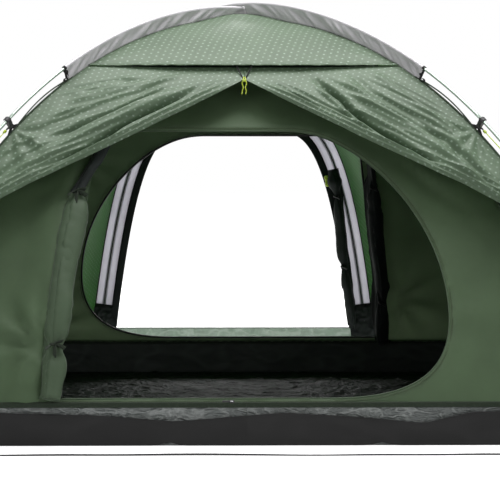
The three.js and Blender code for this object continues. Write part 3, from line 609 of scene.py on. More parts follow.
def evenly(path, count):
    """The same line with its points evenly spaced."""
    path = np.asarray(path, float)
    along = lengths_along(path)
    wanted = np.linspace(0, along[-1], count)
    return np.stack([np.interp(wanted, along, path[:, axis]) for axis in range(path.shape[1])], axis=1)


def smooth_line(points, count=60):
    """A smooth curve through a few chosen points."""
    points = np.asarray(points, float)
    padded = np.vstack([2 * points[0] - points[1], points, 2 * points[-1] - points[-2]])
    out = []
    per = max(2, count // (len(points) - 1))
    for a, b, c, d in zip(padded, padded[1:], padded[2:], padded[3:]):
        s = np.linspace(0, 1, per, endpoint=False)[:, None]
        out.append(0.5 * (2 * b + (c - a) * s + (2 * a - 5 * b + 4 * c - d) * s ** 2
                          + (3 * b - 3 * c + d - a) * s ** 3))
    out.append(points[-1:])
    return np.concatenate(out)


def directions(path):
    return unit(np.gradient(np.asarray(path, float), axis=0))


def frames_of(path, side=None):
    """For each point of a line, its side and up directions. side may be one vector or one for each point."""
    path = np.asarray(path, float)
    ahead = directions(path)
    if side is None:
        guess = np.cross(ahead[0], (0.31, 0.52, 0.79))
        sides = [unit(guess)]
        for way in ahead[1:]:
            last = sides[-1]
            sides.append(unit(last - way * (last @ way)))
        sides = np.array(sides)
    else:
        sides = np.broadcast_to(np.asarray(side, float), path.shape)
        sides = unit(sides - ahead * np.einsum("ij,ij->i", sides, ahead)[:, None])
    return sides, np.cross(ahead, sides)


def rings_along(path, outline, side=None):
    """Rings for skin(): outline is (corners, 2), or (points, corners, 2) where it changes along the line."""
    path = np.asarray(path, float)
    sides, ups = frames_of(path, side)
    outline = np.asarray(outline, float)
    if outline.ndim == 2:
        outline = np.broadcast_to(outline, (len(path), *outline.shape))
    return path[:, None] + outline[..., :1] * sides[:, None] + outline[..., 1:] * ups[:, None]


def round_points(radius, angle):
    return together(radius * np.cos(angle), radius * np.sin(angle))


def scaled_rings(path, outline, sizes, side=None):
    """Rings for skin() of one outline, made larger or smaller along the line."""
    return rings_along(path, outline[None] * np.asarray(sizes)[:, None, None], side)


def circle(radius, sides=16):
    return round_points(radius, (np.arange(sides) + 0.5) * 2 * math.pi / sides)


def round_tube(name, path, radius, look, sides=14, rounded=True, **others):
    """A round rod or cord along a line. radius is one number or one for each point."""
    path = np.asarray(path, float)
    radius = np.broadcast_to(np.asarray(radius, float), len(path))
    if rounded:
        lead = directions(path)
        steps = np.array([0.0, 0.3, 0.7])
        swell = np.sqrt(1 - (1 - steps) ** 2)
        head = path[0] - lead[0] * radius[0] * 0.5 * (1 - steps)[:, None]
        tail = path[-1] + lead[-1] * radius[-1] * 0.5 * (1 - steps[::-1])[:, None]
        path = end_to_end(head, path, tail)
        radius = np.concatenate([radius[0] * np.maximum(swell, 0.15), radius,
                                 radius[-1] * np.maximum(swell[::-1], 0.15)])
    return skin(name, scaled_rings(path, circle(1.0, sides), radius), look, **others)


def flat_outline(width, thickness, steps=7):
    """The rounded outline of a tape, wider along its side direction."""
    half, edge = width / 2, thickness / 2
    across = np.linspace(-half + edge, half - edge, steps)
    bottom = together(across, np.full(steps, -edge))
    top = together(across[::-1], np.full(steps, edge))
    return end_to_end(bottom, [[half, 0]], top, [[-half, 0]])


def tape(name, path, side, width, thickness, look, **others):
    return skin(name, rings_along(path, flat_outline(width, thickness), side), look, **others)


def join_pieces(name, pieces):
    """Joins pieces of one body and one look into one object."""
    first = pieces[0]
    with bpy.context.temp_override(active_object=first, selected_editable_objects=pieces,
                                   selected_objects=pieces, object=first):
        bpy.ops.object.join()
    first.name = name
    first.data.name = name
    return first


# ---- unevenness of cloth
def ripples(places, size, seed, layers=3, fall=0.55):
    """A smooth unevenness of about unit height over places, whose coarsest waves are size long."""
    rng = np.random.default_rng(seed)
    total = 0.0
    for layer in range(layers):
        for _ in range(5):
            way = unit(rng.normal(size=places.shape[-1]))
            wave = size * fall ** layer * rng.uniform(0.7, 1.5)
            total += np.sin(places @ way * (2 * math.pi / wave) + rng.uniform(0, 6.28)) * fall ** layer
    return total / 4


def ripples_along(gone, size, seed, layers=3):
    """The same unevenness along a line, from the lengths that are gone at its points."""
    return ripples(together(gone, gone * 0), size, seed, layers=layers)


def crumples(places, size, seed):
    """Flat facets that meet in sharp creases, as in a groundsheet that was packed."""
    sharp = [1 - np.abs(np.tanh(2.2 * ripples(places, size * scale, seed + step, layers=2)))
             for step, scale in enumerate((1.0, 0.6, 0.35))]
    return sharp[0] + 0.6 * sharp[1] + 0.35 * sharp[2] - 0.9


def pull_folds(places, anchor, count, reach, turn=0.0, seed=1):
    """Folds that fan out from a point where the cloth is pulled, fading with distance."""
    away = places - np.asarray(anchor)
    distance = lengths_of(away)
    angle = np.arctan2(away[..., 1], away[..., 0])
    wobble = 0.35 * ripples(places, reach * 1.2, seed, layers=2)
    fans = np.cos(count * (angle - turn) + wobble)
    return fans * hump(distance, reach) * np.minimum(1.0, distance / (0.25 * reach))


def eased(value, low, high):
    share = np.clip((np.asarray(value, float) - low) / (high - low), 0, 1)
    return share * share * (3 - 2 * share)


# ---- what repeats along a line
def repeat_tree(name, look):
    """Sets one small rounded bead at even steps along a curve, stretched along it."""
    tree = bpy.data.node_groups.new(name, "GeometryNodeTree")
    interface = tree.interface
    interface.new_socket("Geometry", in_out="INPUT", socket_type="NodeSocketGeometry")
    for label in ("Spacing", "Length", "Thickness"):
        interface.new_socket(label, in_out="INPUT", socket_type="NodeSocketFloat")
    interface.new_socket("Geometry", in_out="OUTPUT", socket_type="NodeSocketGeometry")
    source = put(tree, "NodeGroupInput").outputs
    steps = put(tree, "GeometryNodeResampleCurve", {"Curve": source["Geometry"],
                                                    "Length": source["Spacing"]}, mode="LENGTH")
    along = put(tree, "GeometryNodeInputTangent").outputs[0]
    turn = put(tree, "FunctionNodeAlignRotationToVector", {"Vector": along}, axis="Z").outputs[0]
    bead = put(tree, "GeometryNodeMeshUVSphere", {"Segments": 5, "Rings": 3, "Radius": 0.5}).outputs[0]
    size = shader(tree, "CombineXYZ", {0: source["Thickness"], 1: source["Thickness"],
                                              2: source["Length"]})
    copies = put(tree, "GeometryNodeInstanceOnPoints", {"Points": steps.outputs[0], "Instance": bead,
                                                        "Rotation": turn, "Scale": size}).outputs[0]
    real = put(tree, "GeometryNodeRealizeInstances", {0: copies}).outputs[0]
    smooth = put(tree, "GeometryNodeSetShadeSmooth", {"Geometry": real}).outputs[0]
    painted = put(tree, "GeometryNodeSetMaterial", {"Geometry": smooth, "Material": looks[look]})
    put(tree, "NodeGroupOutput", {0: painted.outputs[0]})
    return tree


repeat_trees = {}


def beads(name, lines, look, spacing, length, thickness, body="tent"):
    """Stitches, or the coil of a zip, along one or more lines, as one mesh."""
    if look not in repeat_trees:
        repeat_trees[look] = repeat_tree(f"repeat_{look}", look)
    tree = repeat_trees[look]
    curve = bpy.data.curves.new(name, "CURVE")
    curve.dimensions = "3D"
    for line in lines:
        spline = curve.splines.new("POLY")
        spline.points.add(len(line) - 1)
        spline.points.foreach_set("co", np.column_stack([line, np.ones(len(line))]).ravel())
    carrier = bpy.data.objects.new(name + "_line", curve)
    bpy.context.collection.objects.link(carrier)
    modifier = carrier.modifiers.new("repeat", "NODES")
    modifier.node_group = tree
    sizes = {"Spacing": spacing, "Length": length, "Thickness": thickness}
    for item in tree.interface.items_tree:
        if item.item_type == "SOCKET" and item.in_out == "INPUT" and item.name in sizes:
            modifier[item.identifier] = sizes[item.name]
    graph = bpy.context.evaluated_depsgraph_get()
    mesh = bpy.data.meshes.new_from_object(carrier.evaluated_get(graph), depsgraph=graph)
    mesh.name = name
    bpy.data.objects.remove(carrier)
    piece = bpy.data.objects.new(name, mesh)
    bpy.context.collection.objects.link(piece)
    return belongs(piece, look, body)


def stitches(name, lines, look="thread", body="tent"):
    return beads(name, lines, look, spacing=0.0052, length=0.0036, thickness=0.0009, body=body)


def zip_coil(name, line, look, normal, body="tent"):
    """A coil zip: two rows of small coils on the middle of a line."""
    side = np.cross(directions(line), normal)
    rows = [line + side * 0.0011, line - side * 0.0011]
    return beads(name, rows, look, spacing=0.0028, length=0.0017, thickness=0.0024, body=body)


# ---- lines of the poles and of the cloth
def arch_shape(t):
    return 1 - ROUNDNESS * t * t - (1 - ROUNDNESS) * np.abs(t) ** 5


def arch_slope(t):
    return -CROWN * (2 * ROUNDNESS * t + 5 * (1 - ROUNDNESS) * np.sign(t) * t ** 4) / SPAN


def crossing_lift(t):
    return CROSSING_LIFT * hump(t, CROSSING_WIDTH)


def pole_point(t, side):
    height = CROWN * arch_shape(t) + (crossing_lift(t) if side < 0 else 0)
    return together(side * FOOT_X * t, FOOT_Y * t, height)


def fly_drop(t):
    return FLY_DROP_CROWN + (FLY_DROP - FLY_DROP_CROWN) * eased(t, 0, DROP_FADE)


def ridge(t):
    """The line under a pole where the fly's panels meet, for the quarter with x and y above 0."""
    slope = arch_slope(t)
    length = np.hypot(slope, 1)
    along = t + fly_drop(t) * slope / length / SPAN
    return together(FOOT_X * along, FOOT_Y * along, CROWN * arch_shape(t) - fly_drop(t) / length)


def inner_corner(t):
    height = TUB_HEIGHT + 0.0008 + (INNER_CROWN - TUB_HEIGHT) * arch_shape(t)
    return together(INNER_X / 2 * t, INNER_Y / 2 * t, height)


def share_at(height, line):
    shares = np.linspace(0, 1, 4001)
    return np.interp(height, line(shares)[::-1, 2], shares[::-1])


def profile_length(line, shares, axis):
    """Metres down a panel, along its own fall, for each share of its corner line."""
    points = line(shares)[:, [axis, 2]]
    return lengths_along(points)


CROWN_SHARE = 0.02
HEM_SHARE = share_at(FLY_HEM, ridge)
BROW_SHARE = share_at(BROW_HEM, ridge)
TIP_SHARE = share_at(FOOT_RISE, lambda t: pole_point(t, 1))
UP = np.array([0.0, 0.0, 1.0])


def pole_side(side):
    return unit([-FOOT_Y, side * FOOT_X, 0])


def rounded_path(points, radius, steps=6):
    """Straight runs with their corners rounded."""
    points = np.asarray(points, float)
    out = [points[:1]]
    for before, corner, after in zip(points, points[1:], points[2:]):
        reach = min(radius, 0.45 * np.linalg.norm(before - corner), 0.45 * np.linalg.norm(after - corner))
        start = corner + unit(before - corner) * reach
        end = corner + unit(after - corner) * reach
        s = shares_down(steps)
        out.append((1 - s) ** 2 * start + 2 * s * (1 - s) * corner + s ** 2 * end)
    out.append(points[-1:])
    return np.concatenate(out)


def merge_seam(piece):
    shape = bmesh.new()
    shape.from_mesh(piece.data)
    bmesh.ops.remove_doubles(shape, verts=shape.verts, dist=1e-6)
    shape.to_mesh(piece.data)
    shape.free()
    return piece


def bored(name, outer, inner, look, **others):
    """A wall between outer rings and inner rings, such as a tube with its bore."""
    rings = end_to_end(outer, inner[::-1], outer[:1])
    return merge_seam(skin(name, rings, look, capped=False, **others))


def wire_ring(name, centre, radius, wire, axis, look, **others):
    """A closed ring of round wire about an axis."""
    first = unit(np.cross(axis, (0.3, 0.5, 0.81)))
    second = np.cross(unit(axis), first)
    angle = np.linspace(0, 2 * math.pi, 37)[:, None]
    out = np.cos(angle) * first + np.sin(angle) * second
    path = np.asarray(centre) + radius * out
    around = circle(wire, 10)
    way = unit(out)
    rings = path[:, None] + around[None, :, :1] * way[:, None] + around[None, :, 1:] * unit(axis)
    return merge_seam(skin(name, rings, look, capped=False, **others))


def turned(name, centre, profile, look, axis=UP, sides=32, **others):
    """A round part turned about an axis, from pairs of radius and height."""
    first = unit(np.cross(axis, (0.0, 1.0, 0.02)))
    second = np.cross(axis, first)
    around = circle(1.0, sides)
    spokes = around[:, :1] * first + around[:, 1:] * second
    rings = [np.asarray(centre) + radius * spokes + height * np.asarray(axis) for radius, height in profile]
    return skin(name, rings, look, **others)


def block_outline(width, thickness, corners=24, squareness=5.0):
    shape = circle(1.0, corners)
    rounded = np.sign(shape) * np.abs(shape) ** (2 / squareness)
    return rounded * np.array([width / 2, thickness / 2])


def plate(name, outline, origin, side, up, depth, look, bevel=0.0006, **others):
    """A flat shape with rounded edges, as thick as depth, centred on its origin."""
    outline = np.asarray(outline, float)
    through = unit(np.cross(side, up))
    flat = np.asarray(origin) + outline[:, :1] * np.asarray(side) + outline[:, 1:] * np.asarray(up)
    count = len(flat)
    points = end_to_end(flat - through * depth / 2, flat + through * depth / 2)
    faces = [list(range(count))[::-1], list(range(count, 2 * count))]
    faces += [[i, (i + 1) % count, (i + 1) % count + count, i + count] for i in range(count)]
    following = np.roll(outline, -1, axis=0)
    if np.sum(outline[:, 0] * following[:, 1] - outline[:, 1] * following[:, 0]) < 0:
        faces = [face[::-1] for face in faces]
    piece = mesh_object(name, points, faces, smooth=False)
    rounding = piece.modifiers.new("rounding", "BEVEL")
    rounding.width = bevel
    rounding.segments = 2
    rounding.limit_method = "ANGLE"
    rounding.angle_limit = math.radians(40)
    return belongs(piece, look, **others)


# ---- guy lines
joints = {joint["name"]: joint for joint in frame["joints"]}


def hook_frame(corner):
    """A hook's pivot on its tape, the way along the pole, the way out beside it and the way up to it."""
    joint = joints[f"hook_{corner}_swing"]
    along = unit(joint["axis"])
    out = unit([-along[1], along[0], 0])
    return np.array(joint["pos_m"]), along, out, np.cross(along, out)


def guy_ends(x, y, corner):
    pivot, _, out, _ = hook_frame(corner)
    peg = np.array([x * (FOOT_X + 0.27), y * (FOOT_Y + 0.11), 0.0033])
    bend = pivot + out * 0.014
    away = unit(peg - bend)
    return bend + away * 0.00845, peg - away * 0.0064, peg, away


def guy_path(x, y, corner):
    start, end, _, _ = guy_ends(x, y, corner)
    share = shares_down(25)
    path = start + (end - start) * share
    path[:, 2] -= 0.012 * (share * (1 - share))[:, 0]
    return path


def guy_runner(x, y, corner, path):
    """The flat slider that sets the line's length, rounded, with a finger groove round its middle."""
    along = unit(path[17] - path[15])
    across = unit([-y, x, 0])
    places = np.array([-0.5, -0.47, -0.4, -0.16, -0.08, 0.08, 0.16, 0.4, 0.47, 0.5])
    sizes = [0.8, 0.93, 1.0, 1.0, 0.84, 0.84, 1.0, 1.0, 0.93, 0.8]
    spine = path[16] + along * places[:, None] * 0.034
    outer = scaled_rings(spine, block_outline(0.014, 0.009), sizes, across)
    inner = rings_along(spine, circle(0.0024, 24), across)
    return bored(f"guy_runner_body_{corner}", outer, inner, "plastic", body=f"runner_{corner}",
                 nodes=[f"guy_runner_{corner}"])


def guy_knot(name, centre, along, body="tent"):
    """The wraps of a tied knot, a ball of three turns of the line."""
    first = unit(np.cross(along, (0.2, 0.3, 0.93)))
    second = np.cross(along, first)
    angle = np.linspace(0, 6 * math.pi, 60)[:, None]
    rise = np.linspace(-0.0042, 0.0042, 60)[:, None]
    path = centre + along * rise + 0.0028 * (np.cos(angle) * first + np.sin(angle) * second)
    return round_tube(name, path, 0.0014, "guy", sides=8, body=body)


def guy_line(x, y, corner):
    start, end, _, away = guy_ends(x, y, corner)
    path = guy_path(x, y, corner)
    line = round_tube(f"guy_{corner}", path, 0.0014, "guy", sides=10, rounded=False,
                      nodes=[f"guy_line_{corner}"])
    runner = guy_runner(x, y, corner, path)
    top = guy_knot(f"guy_top_knot_{corner}", start + away * 0.006, away)
    low = guy_knot(f"guy_low_knot_{corner}", end - away * 0.01, away)


def peg(x, y, corner):
    """A round steel peg lying on the ground, its tip towards the tent and its hook over the line."""
    _, _, seat, away = guy_ends(x, y, corner)
    level = unit([away[0], away[1], 0])
    tip = seat - level * 0.18
    neck = seat + level * 0.01
    over = neck + UP * 0.016
    lip = over - level * 0.016
    path = rounded_path([tip, neck, over, lip], 0.006)
    path = end_to_end(path[:1], path[:1] + level * 0.014, path[1:])
    radius = np.full(len(path), 0.003)
    radius[0] = 0.0007
    round_tube(f"steel_peg_{corner}", path, radius, "steel", sides=16, body=f"peg_body_{corner}",
               nodes=[f"peg_{corner}"])


for x_way, y_way, corner_name in CORNERS:
    guy_line(x_way, y_way, corner_name)
    peg(x_way, y_way, corner_name)


# ---- poles
def pole_sections(name, path, count):
    """Tube sections with chamfered mouths, and the brighter ferrules that join them."""
    whole = evenly(path, SECTION_STEPS * count + 1)
    for number in range(count):
        at = SECTION_STEPS * (number + 1)
        part = whole[at - SECTION_STEPS:at + 1].copy()
        for end in (0, -1):
            part[end] += away_from_end(part, end) * 0.0004
        ahead = directions(part)
        path_part = np.concatenate([part[:1], part[:1] + ahead[:1] * 0.0006, part[1:-1],
                                    part[-1:] - ahead[-1:] * 0.0006, part[-1:]])
        radius = np.full(len(path_part), POLE_RADIUS)
        radius[[0, -1]] = POLE_RADIUS - 0.0005
        outer = scaled_rings(path_part, circle(1.0, 16), radius, SIDE_OF[name])
        inner = rings_along(path_part, circle(POLE_RADIUS - 0.00075, 16), SIDE_OF[name])
        bored(f"{name}_tube_{number + 1}", outer, inner, "pole", nodes=[f"{name}_{number + 1}"])
        if number + 1 < count:
            round_tube(f"{name}_ferrule_{number + 1}", whole[at - 2:at + 3], 0.0033, "ferrule", sides=16)


SIDE_OF = {"pole_a": pole_side(1), "pole_b": pole_side(-1), "porch_pole": np.array([0.0, 1.0, 0.0])}


def hoop_line(count=400):
    """The hooped porch pole, square at its shoulders, from its left foot to its right."""
    turn = math.acos(math.sqrt(FOOT_RISE / PORCH_HEIGHT))
    angle = np.sin(np.linspace(-math.pi / 2, math.pi / 2, 4 * count)) * turn
    angle = np.sort(end_to_end(angle, np.linspace(-0.03, 0.03, count)))
    x = PORCH_HALF_WIDTH * np.sign(angle) * np.abs(np.sin(angle)) ** (2 / PORCH_SQUARENESS)
    z = PORCH_HEIGHT * np.cos(angle) ** 2
    return evenly(together(x, np.full_like(x, PORCH_Y), z), count + 1)


def inward_of_hoop(line):
    return unit(np.cross(directions(line), (0.0, 1.0, 0.0)))


def hoop_offset(reach):
    line = hoop_line()
    return line + inward_of_hoop(line) * reach


dome_shares = np.linspace(-TIP_SHARE, TIP_SHARE, 2000)
pole_sections("pole_a", pole_point(dome_shares, 1), POLE_SECTIONS)
pole_sections("pole_b", pole_point(dome_shares, -1), POLE_SECTIONS)
pole_sections("porch_pole", hoop_line(), 2)


# ---- pole sleeves
def teardrop(reach, pucker, corners=12):
    """A sleeve's section: round over the pole, then two flanks that close on the seam below."""
    top = np.radians(np.linspace(-12, 192, corners))
    crown = round_points(0.006, top)
    fall = np.linspace(0, 1, 9)[1:]
    start, low = crown[0], np.array([0.0011, -reach])
    right = start + (low - start) * fall[:, None]
    left = right * [-1, 1]
    belly = np.sin(fall * math.pi)
    right[:, 0] += pucker[0] * belly
    left[:, 0] -= pucker[1] * belly
    return end_to_end(crown, left, right[::-1])


def dome_sleeve(name, side):
    shares = np.linspace(-SLEEVE_END, SLEEVE_END, 1200)
    path = evenly(pole_point(shares, side), 321)
    t = path[:, 1] / FOOT_Y
    gone = lengths_along(path)
    reach = fly_drop(np.abs(t)) + 0.002
    if side < 0:
        reach += crossing_lift(t)
        bare = eased(np.abs(t) * SPAN, 0.014, 0.024)
        reach = 0.0064 + (reach - 0.0064) * bare
    seed = 21 if side > 0 else 34
    first = ripples_along(gone, 0.055, seed)
    second = ripples_along(gone, 0.05, seed + 1)
    full = eased(reach, 0.012, 0.03)
    slack = 0.0066 * together(first, second) * full[:, None] - 0.0006
    shapes = np.array([teardrop(far, pinch) for far, pinch in zip(reach, slack)])
    # The puckers run slantwise, so each row of corners takes its slack from a little further on.
    drift = np.interp(shapes[..., 1], [-0.034, 0.0], [0.06, 0.0])
    for corner in range(shapes.shape[1]):
        row = shapes[:, corner, 0]
        moved = np.interp(gone + drift[:, corner], gone, row)
        shapes[:, corner, 0] = np.where(np.abs(drift[:, corner]) > 0.001, moved, row)
    outer = rings_along(path, shapes, pole_side(side))
    # Both outlines start at the same side of the pole, so that the end walls stay flat.
    turned_in = np.radians(np.linspace(-12, 348, shapes.shape[1], endpoint=False))
    bore = round_points(BORE, turned_in)
    inner = rings_along(path, bore, pole_side(side))
    bored(name + "_cloth", outer, inner, "sleeve", nodes=[name])
    for end in (0, -1):
        sleeve_cuff(name, path, shapes, bore, side, end)
    sides, ups = frames_of(path, pole_side(side))
    keep = np.abs(t) > (0.03 if side < 0 else 0.0)
    for way in (-1, 1):
        low = path + sides * (0.0019 * way) - ups * (reach - 0.003)[:, None]
        for part, chosen in (("front", keep & (t < 0)), ("rear", keep & (t > 0))):
            stitches(f"{name}_stitches_{part}_{SIDE_NAMES[way]}", [low[chosen]], "thread")


def sleeve_cuff(name, path, shapes, bore, side, end):
    """The black binding round a sleeve's mouth, with a webbing loop where its seam ends."""
    last = path[end]
    back = away_from_end(path, end)
    spine = last + back * np.linspace(-0.0012, 0.0056, 5)[:, None]
    if end == -1:
        spine = spine[::-1]
    shape = shapes[end].copy()
    middle = np.array([0.0, shape[:, 1].mean()])
    outline = shape + unit(shape - middle) * 0.0009
    outer = rings_along(spine, outline, pole_side(side))
    inner = rings_along(spine, bore, pole_side(side))
    label = "front" if end == 0 else "rear"
    bored(f"{name}_cuff_{label}", outer, inner, "binding")
    sides, ups = frames_of(spine, pole_side(side))
    root = last - ups[0] * 0.03
    loop = smooth_line([root + back * 0.004, root - back * 0.01 + ups[0] * 0.004,
                        root - back * 0.016 - ups[0] * 0.001, root - back * 0.006 - ups[0] * 0.006], 24)
    tape(f"{name}_loop_{label}", loop, sides[0], 0.008, 0.0012, "webbing")


dome_sleeve("pole_sleeve_a", 1)
dome_sleeve("pole_sleeve_b", -1)


# ---- the fly over the dome
def edge_fade(share, width):
    """0 at both ends of a panel and 1 a little way inside it."""
    return eased(share, 0, width) * eased(1 - share, 0, width)


def hem_band(from_edge, width=0.016, thickness=0.0009):
    """The raised double cloth of a folded hem."""
    return thickness * (1 - eased(from_edge, width - 0.001, width + 0.0006))


def side_panel(line, shares, columns, inset, side):
    """A side of the tent between two of its corner lines: its points, its pattern and its length."""
    edge = line(shares)
    across = np.linspace(-1, 1, columns)[None]
    y = across * (edge[:, 1:2] - inset)
    x = np.broadcast_to(side * edge[:, :1], y.shape)
    z = np.broadcast_to(edge[:, 2:], y.shape)
    down = profile_length(line, shares, 0)
    return together(x, y, z), (y, np.broadcast_to(down[:, None], y.shape)), down, across


def fly_side(side):
    shares = np.linspace(CROWN_SHARE, HEM_SHARE, 130)
    points, unrolled, down, across = side_panel(ridge, shares, 131, SIDE_INSET, side)
    places = together(*unrolled)
    inside = edge_fade((across + 1) / 2, 0.05) * eased(shares[:, None], 0.03, 0.2)
    relief = -0.007 * (1 - across ** 2) * arched(shares[:, None])
    relief += 0.0016 * ripples(places, 0.55, 5 + side)
    hook_down = np.interp(HOOK_SHARE, shares, down)
    for end in (-1, 1):
        hook = np.array([end * ridge(np.array(HOOK_SHARE))[1], hook_down])
        relief += 0.0038 * pull_folds(places, hook, 7, 0.42, seed=8 + end)
        low = np.array([end * ridge(np.array(HEM_SHARE))[1], down[-1]])
        relief += 0.0036 * pull_folds(places, low, 6, 0.36, seed=18 + end)
        top = np.array([end * 0.47 * FOOT_Y, np.interp(0.5, shares, down)])
        relief += 0.0022 * pull_folds(places, top, 8, 0.3, seed=28 + end)
    relief = relief * inside + hem_band(down[-1] - down)[:, None]
    name = SIDE_NAMES[side]
    cloth = Cloth(f"fly_{name}_side_cloth", points, relief, "fly", nodes=[f"fly_{name}_side"],
                  unrolled=unrolled)
    stitches(f"fly_{name}_side_hem_stitches", cloth.above_hem(down[-1]))


def fly_brow():
    """The hood over the front door: swollen towards its hem, which is folded and stitched twice."""
    shares = np.linspace(CROWN_SHARE, BROW_SHARE, 100)
    edge = ridge(shares)
    across = np.linspace(-1, 1, 181)
    x = across[None] * (edge[:, :1] - FRONT_INSET)
    share = shares_down(len(shares))
    flare = BROW_FLARE * share ** 2 * (1 - across[None] ** 2)
    y = -edge[:, 1:2] - flare
    z = np.broadcast_to(edge[:, 2:], x.shape)
    down = profile_length(ridge, shares, 1)
    unrolled = (x, np.broadcast_to(down[:, None], x.shape))
    places = together(*unrolled)
    printed = (0.9 * unrolled[0], 0.8 * unrolled[1])
    cut = (round(2 * float(x.max()), 3), round(float(down[-1]), 3))
    inside = edge_fade((across[None] + 1) / 2, 0.06) * eased(share, 0.0, 0.15)
    corner_x = ridge(np.array(BROW_SHARE))[0]
    relief = 0.0009 * ripples(places, 0.3, 3)
    for end in (-1, 1):
        corner = np.array([end * corner_x, down[-1]])
        relief += 0.0016 * pull_folds(places, corner, 9, 0.22, turn=0.2, seed=40 + end)
    from_hem = down[-1] - down[:, None]
    pinched = 0.0009 * ripples(places * [1.0, 0.25], 0.035, 9, layers=2) * hump(from_hem, 0.03)
    relief = (relief + pinched) * inside + hem_band(from_hem, 0.014, 0.003)
    relief -= 0.0014 * hump(from_hem - 0.0165, 0.0016)
    cloth = Cloth("fly_hood_cloth", together(x, y, z), relief, "fly", nodes=["fly_brow"],
                  unrolled=printed, cut=cut)
    for number, row in enumerate(cloth.above_hem(down[-1], (0.0035, 0.0115))):
        stitches(f"fly_hood_hem_stitches_{number + 1}", [row])


FOLD_OUT = np.array([0.0, 0.31, 0.62, 0.729, 0.81, 0.876, 0.914])
FOLD_UP = np.array([1.0, 0.82, 0.643, 0.535, 0.386, 0.182, 0.017])
# The folds of a rolled-back door: places outwards and up along a fold, its height and its half width.
LEFT_FOLDS = [
    ([(0.1, 0.94), (0.22, 0.88), (0.32, 0.83), (0.38, 0.79), (0.48, 0.73), (0.68, 0.62)], -0.026, 0.0085),
    ([(0.12, 0.965), (0.22, 0.91), (0.31, 0.865), (0.39, 0.82), (0.48, 0.765), (0.64, 0.69)], 0.011, 0.02),
    ([(0.12, 0.95), (0.26, 0.905), (0.4, 0.85), (0.47, 0.81), (0.57, 0.75)], -0.008, 0.012),
    ([(0.13, 0.97), (0.27, 0.935), (0.43, 0.88), (0.57, 0.84)], 0.0085, 0.01),
    ([(0.535, 0.8), (0.575, 0.785), (0.62, 0.765), (0.68, 0.72)], 0.006, 0.009),
    ([(0.545, 0.765), (0.575, 0.785)], 0.0045, 0.007),
    ([(0.56, 0.745), (0.63, 0.705), (0.72, 0.61)], -0.007, 0.013),
    ([(0.7, 0.66), (0.78, 0.5), (0.84, 0.3)], 0.006, 0.016),
]
RIGHT_FOLDS = [
    ([(0.17, 0.975), (0.26, 0.9), (0.32, 0.84), (0.38, 0.8), (0.47, 0.74), (0.56, 0.68)], -0.03, 0.009),
    ([(0.17, 0.95), (0.24, 0.89), (0.3, 0.835), (0.37, 0.785), (0.46, 0.725)], 0.0075, 0.006),
    ([(0.05, 0.955), (0.12, 0.92), (0.2, 0.87), (0.3, 0.812)], -0.008, 0.0055),
    ([(0.24, 0.985), (0.33, 0.895), (0.43, 0.825), (0.55, 0.735), (0.7, 0.58)], 0.0125, 0.018),
    ([(0.28, 0.98), (0.34, 0.925), (0.43, 0.865), (0.55, 0.77)], -0.008, 0.011),
    ([(0.33, 0.985), (0.42, 0.92), (0.55, 0.82)], 0.008, 0.01),
    ([(0.43, 0.84), (0.52, 0.79), (0.6, 0.71), (0.68, 0.62)], -0.0075, 0.012),
    ([(0.5, 0.83), (0.58, 0.76), (0.66, 0.67)], 0.006, 0.011),
    ([(0.575, 0.845), (0.555, 0.81), (0.59, 0.755), (0.64, 0.71)], 0.0022, 0.0035),
    ([(0.7, 0.6), (0.78, 0.46), (0.84, 0.28)], 0.006, 0.016),
]


# Where the fine folds of each door begin and end, from the lowest to the highest.
FAN = {-1: (((0.09, 0.945), (0.26, 0.965)), ((0.66, 0.66), (0.5, 0.925))),
       1: (((0.03, 0.945), (0.34, 0.985)), ((0.5, 0.7), (0.62, 0.82)))}


def door_fold_line(count):
    """The free edge of a rolled-back fly door, from where the doors part out to the hem."""
    points = together(FOOT_X * FOLD_OUT, FLY_HEM + (DOOR_APEX - FLY_HEM) * FOLD_UP)
    return evenly(smooth_line(points, 600), count)


def one_fold(places, line, height, width):
    """The height over places of a single fold along a line, dying out at both of its ends."""
    path = evenly(smooth_line(line, 60), 60)
    normal = directions(path)[:, ::-1] * [1, -1]
    nearest = np.empty(places.shape[:-1], int)
    for row in range(len(places)):
        gaps = ((places[row][:, None] - path[None]) ** 2).sum(axis=-1)
        nearest[row] = gaps.argmin(axis=1)
    offset = places - path[nearest]
    across = (offset * normal[nearest]).sum(axis=-1)
    beyond = np.abs((offset * directions(path)[nearest]).sum(axis=-1))
    share = nearest / (len(path) - 1)
    return height * hump(across, width) * hump(beyond, 0.03) * edge_fade(share, 0.24)


def fold_fan(places, heads, feet, seed, count=30):
    """Fine long folds side by side, each between a place near its head and one near its foot."""
    chance = np.random.default_rng(seed)
    relief = np.zeros(places.shape[:-1])
    for share in np.linspace(0, 1, count):
        head = np.array(heads[0]) * (1 - share) + np.array(heads[1]) * share
        foot = np.array(feet[0]) * (1 - share) + np.array(feet[1]) * share
        begin, end = chance.uniform(-0.05, 0.3), chance.uniform(0.75, 1.1)
        bow = np.array([0.0, chance.uniform(-0.008, 0.008)])
        line = [head + (foot - head) * begin, (head + foot) / 2 + bow, head + (foot - head) * end]
        height = chance.uniform(0.002, 0.0042) * (1 if chance.random() < 0.4 else -1)
        relief += one_fold(places, line, height, chance.uniform(0.0035, 0.006))
    return relief


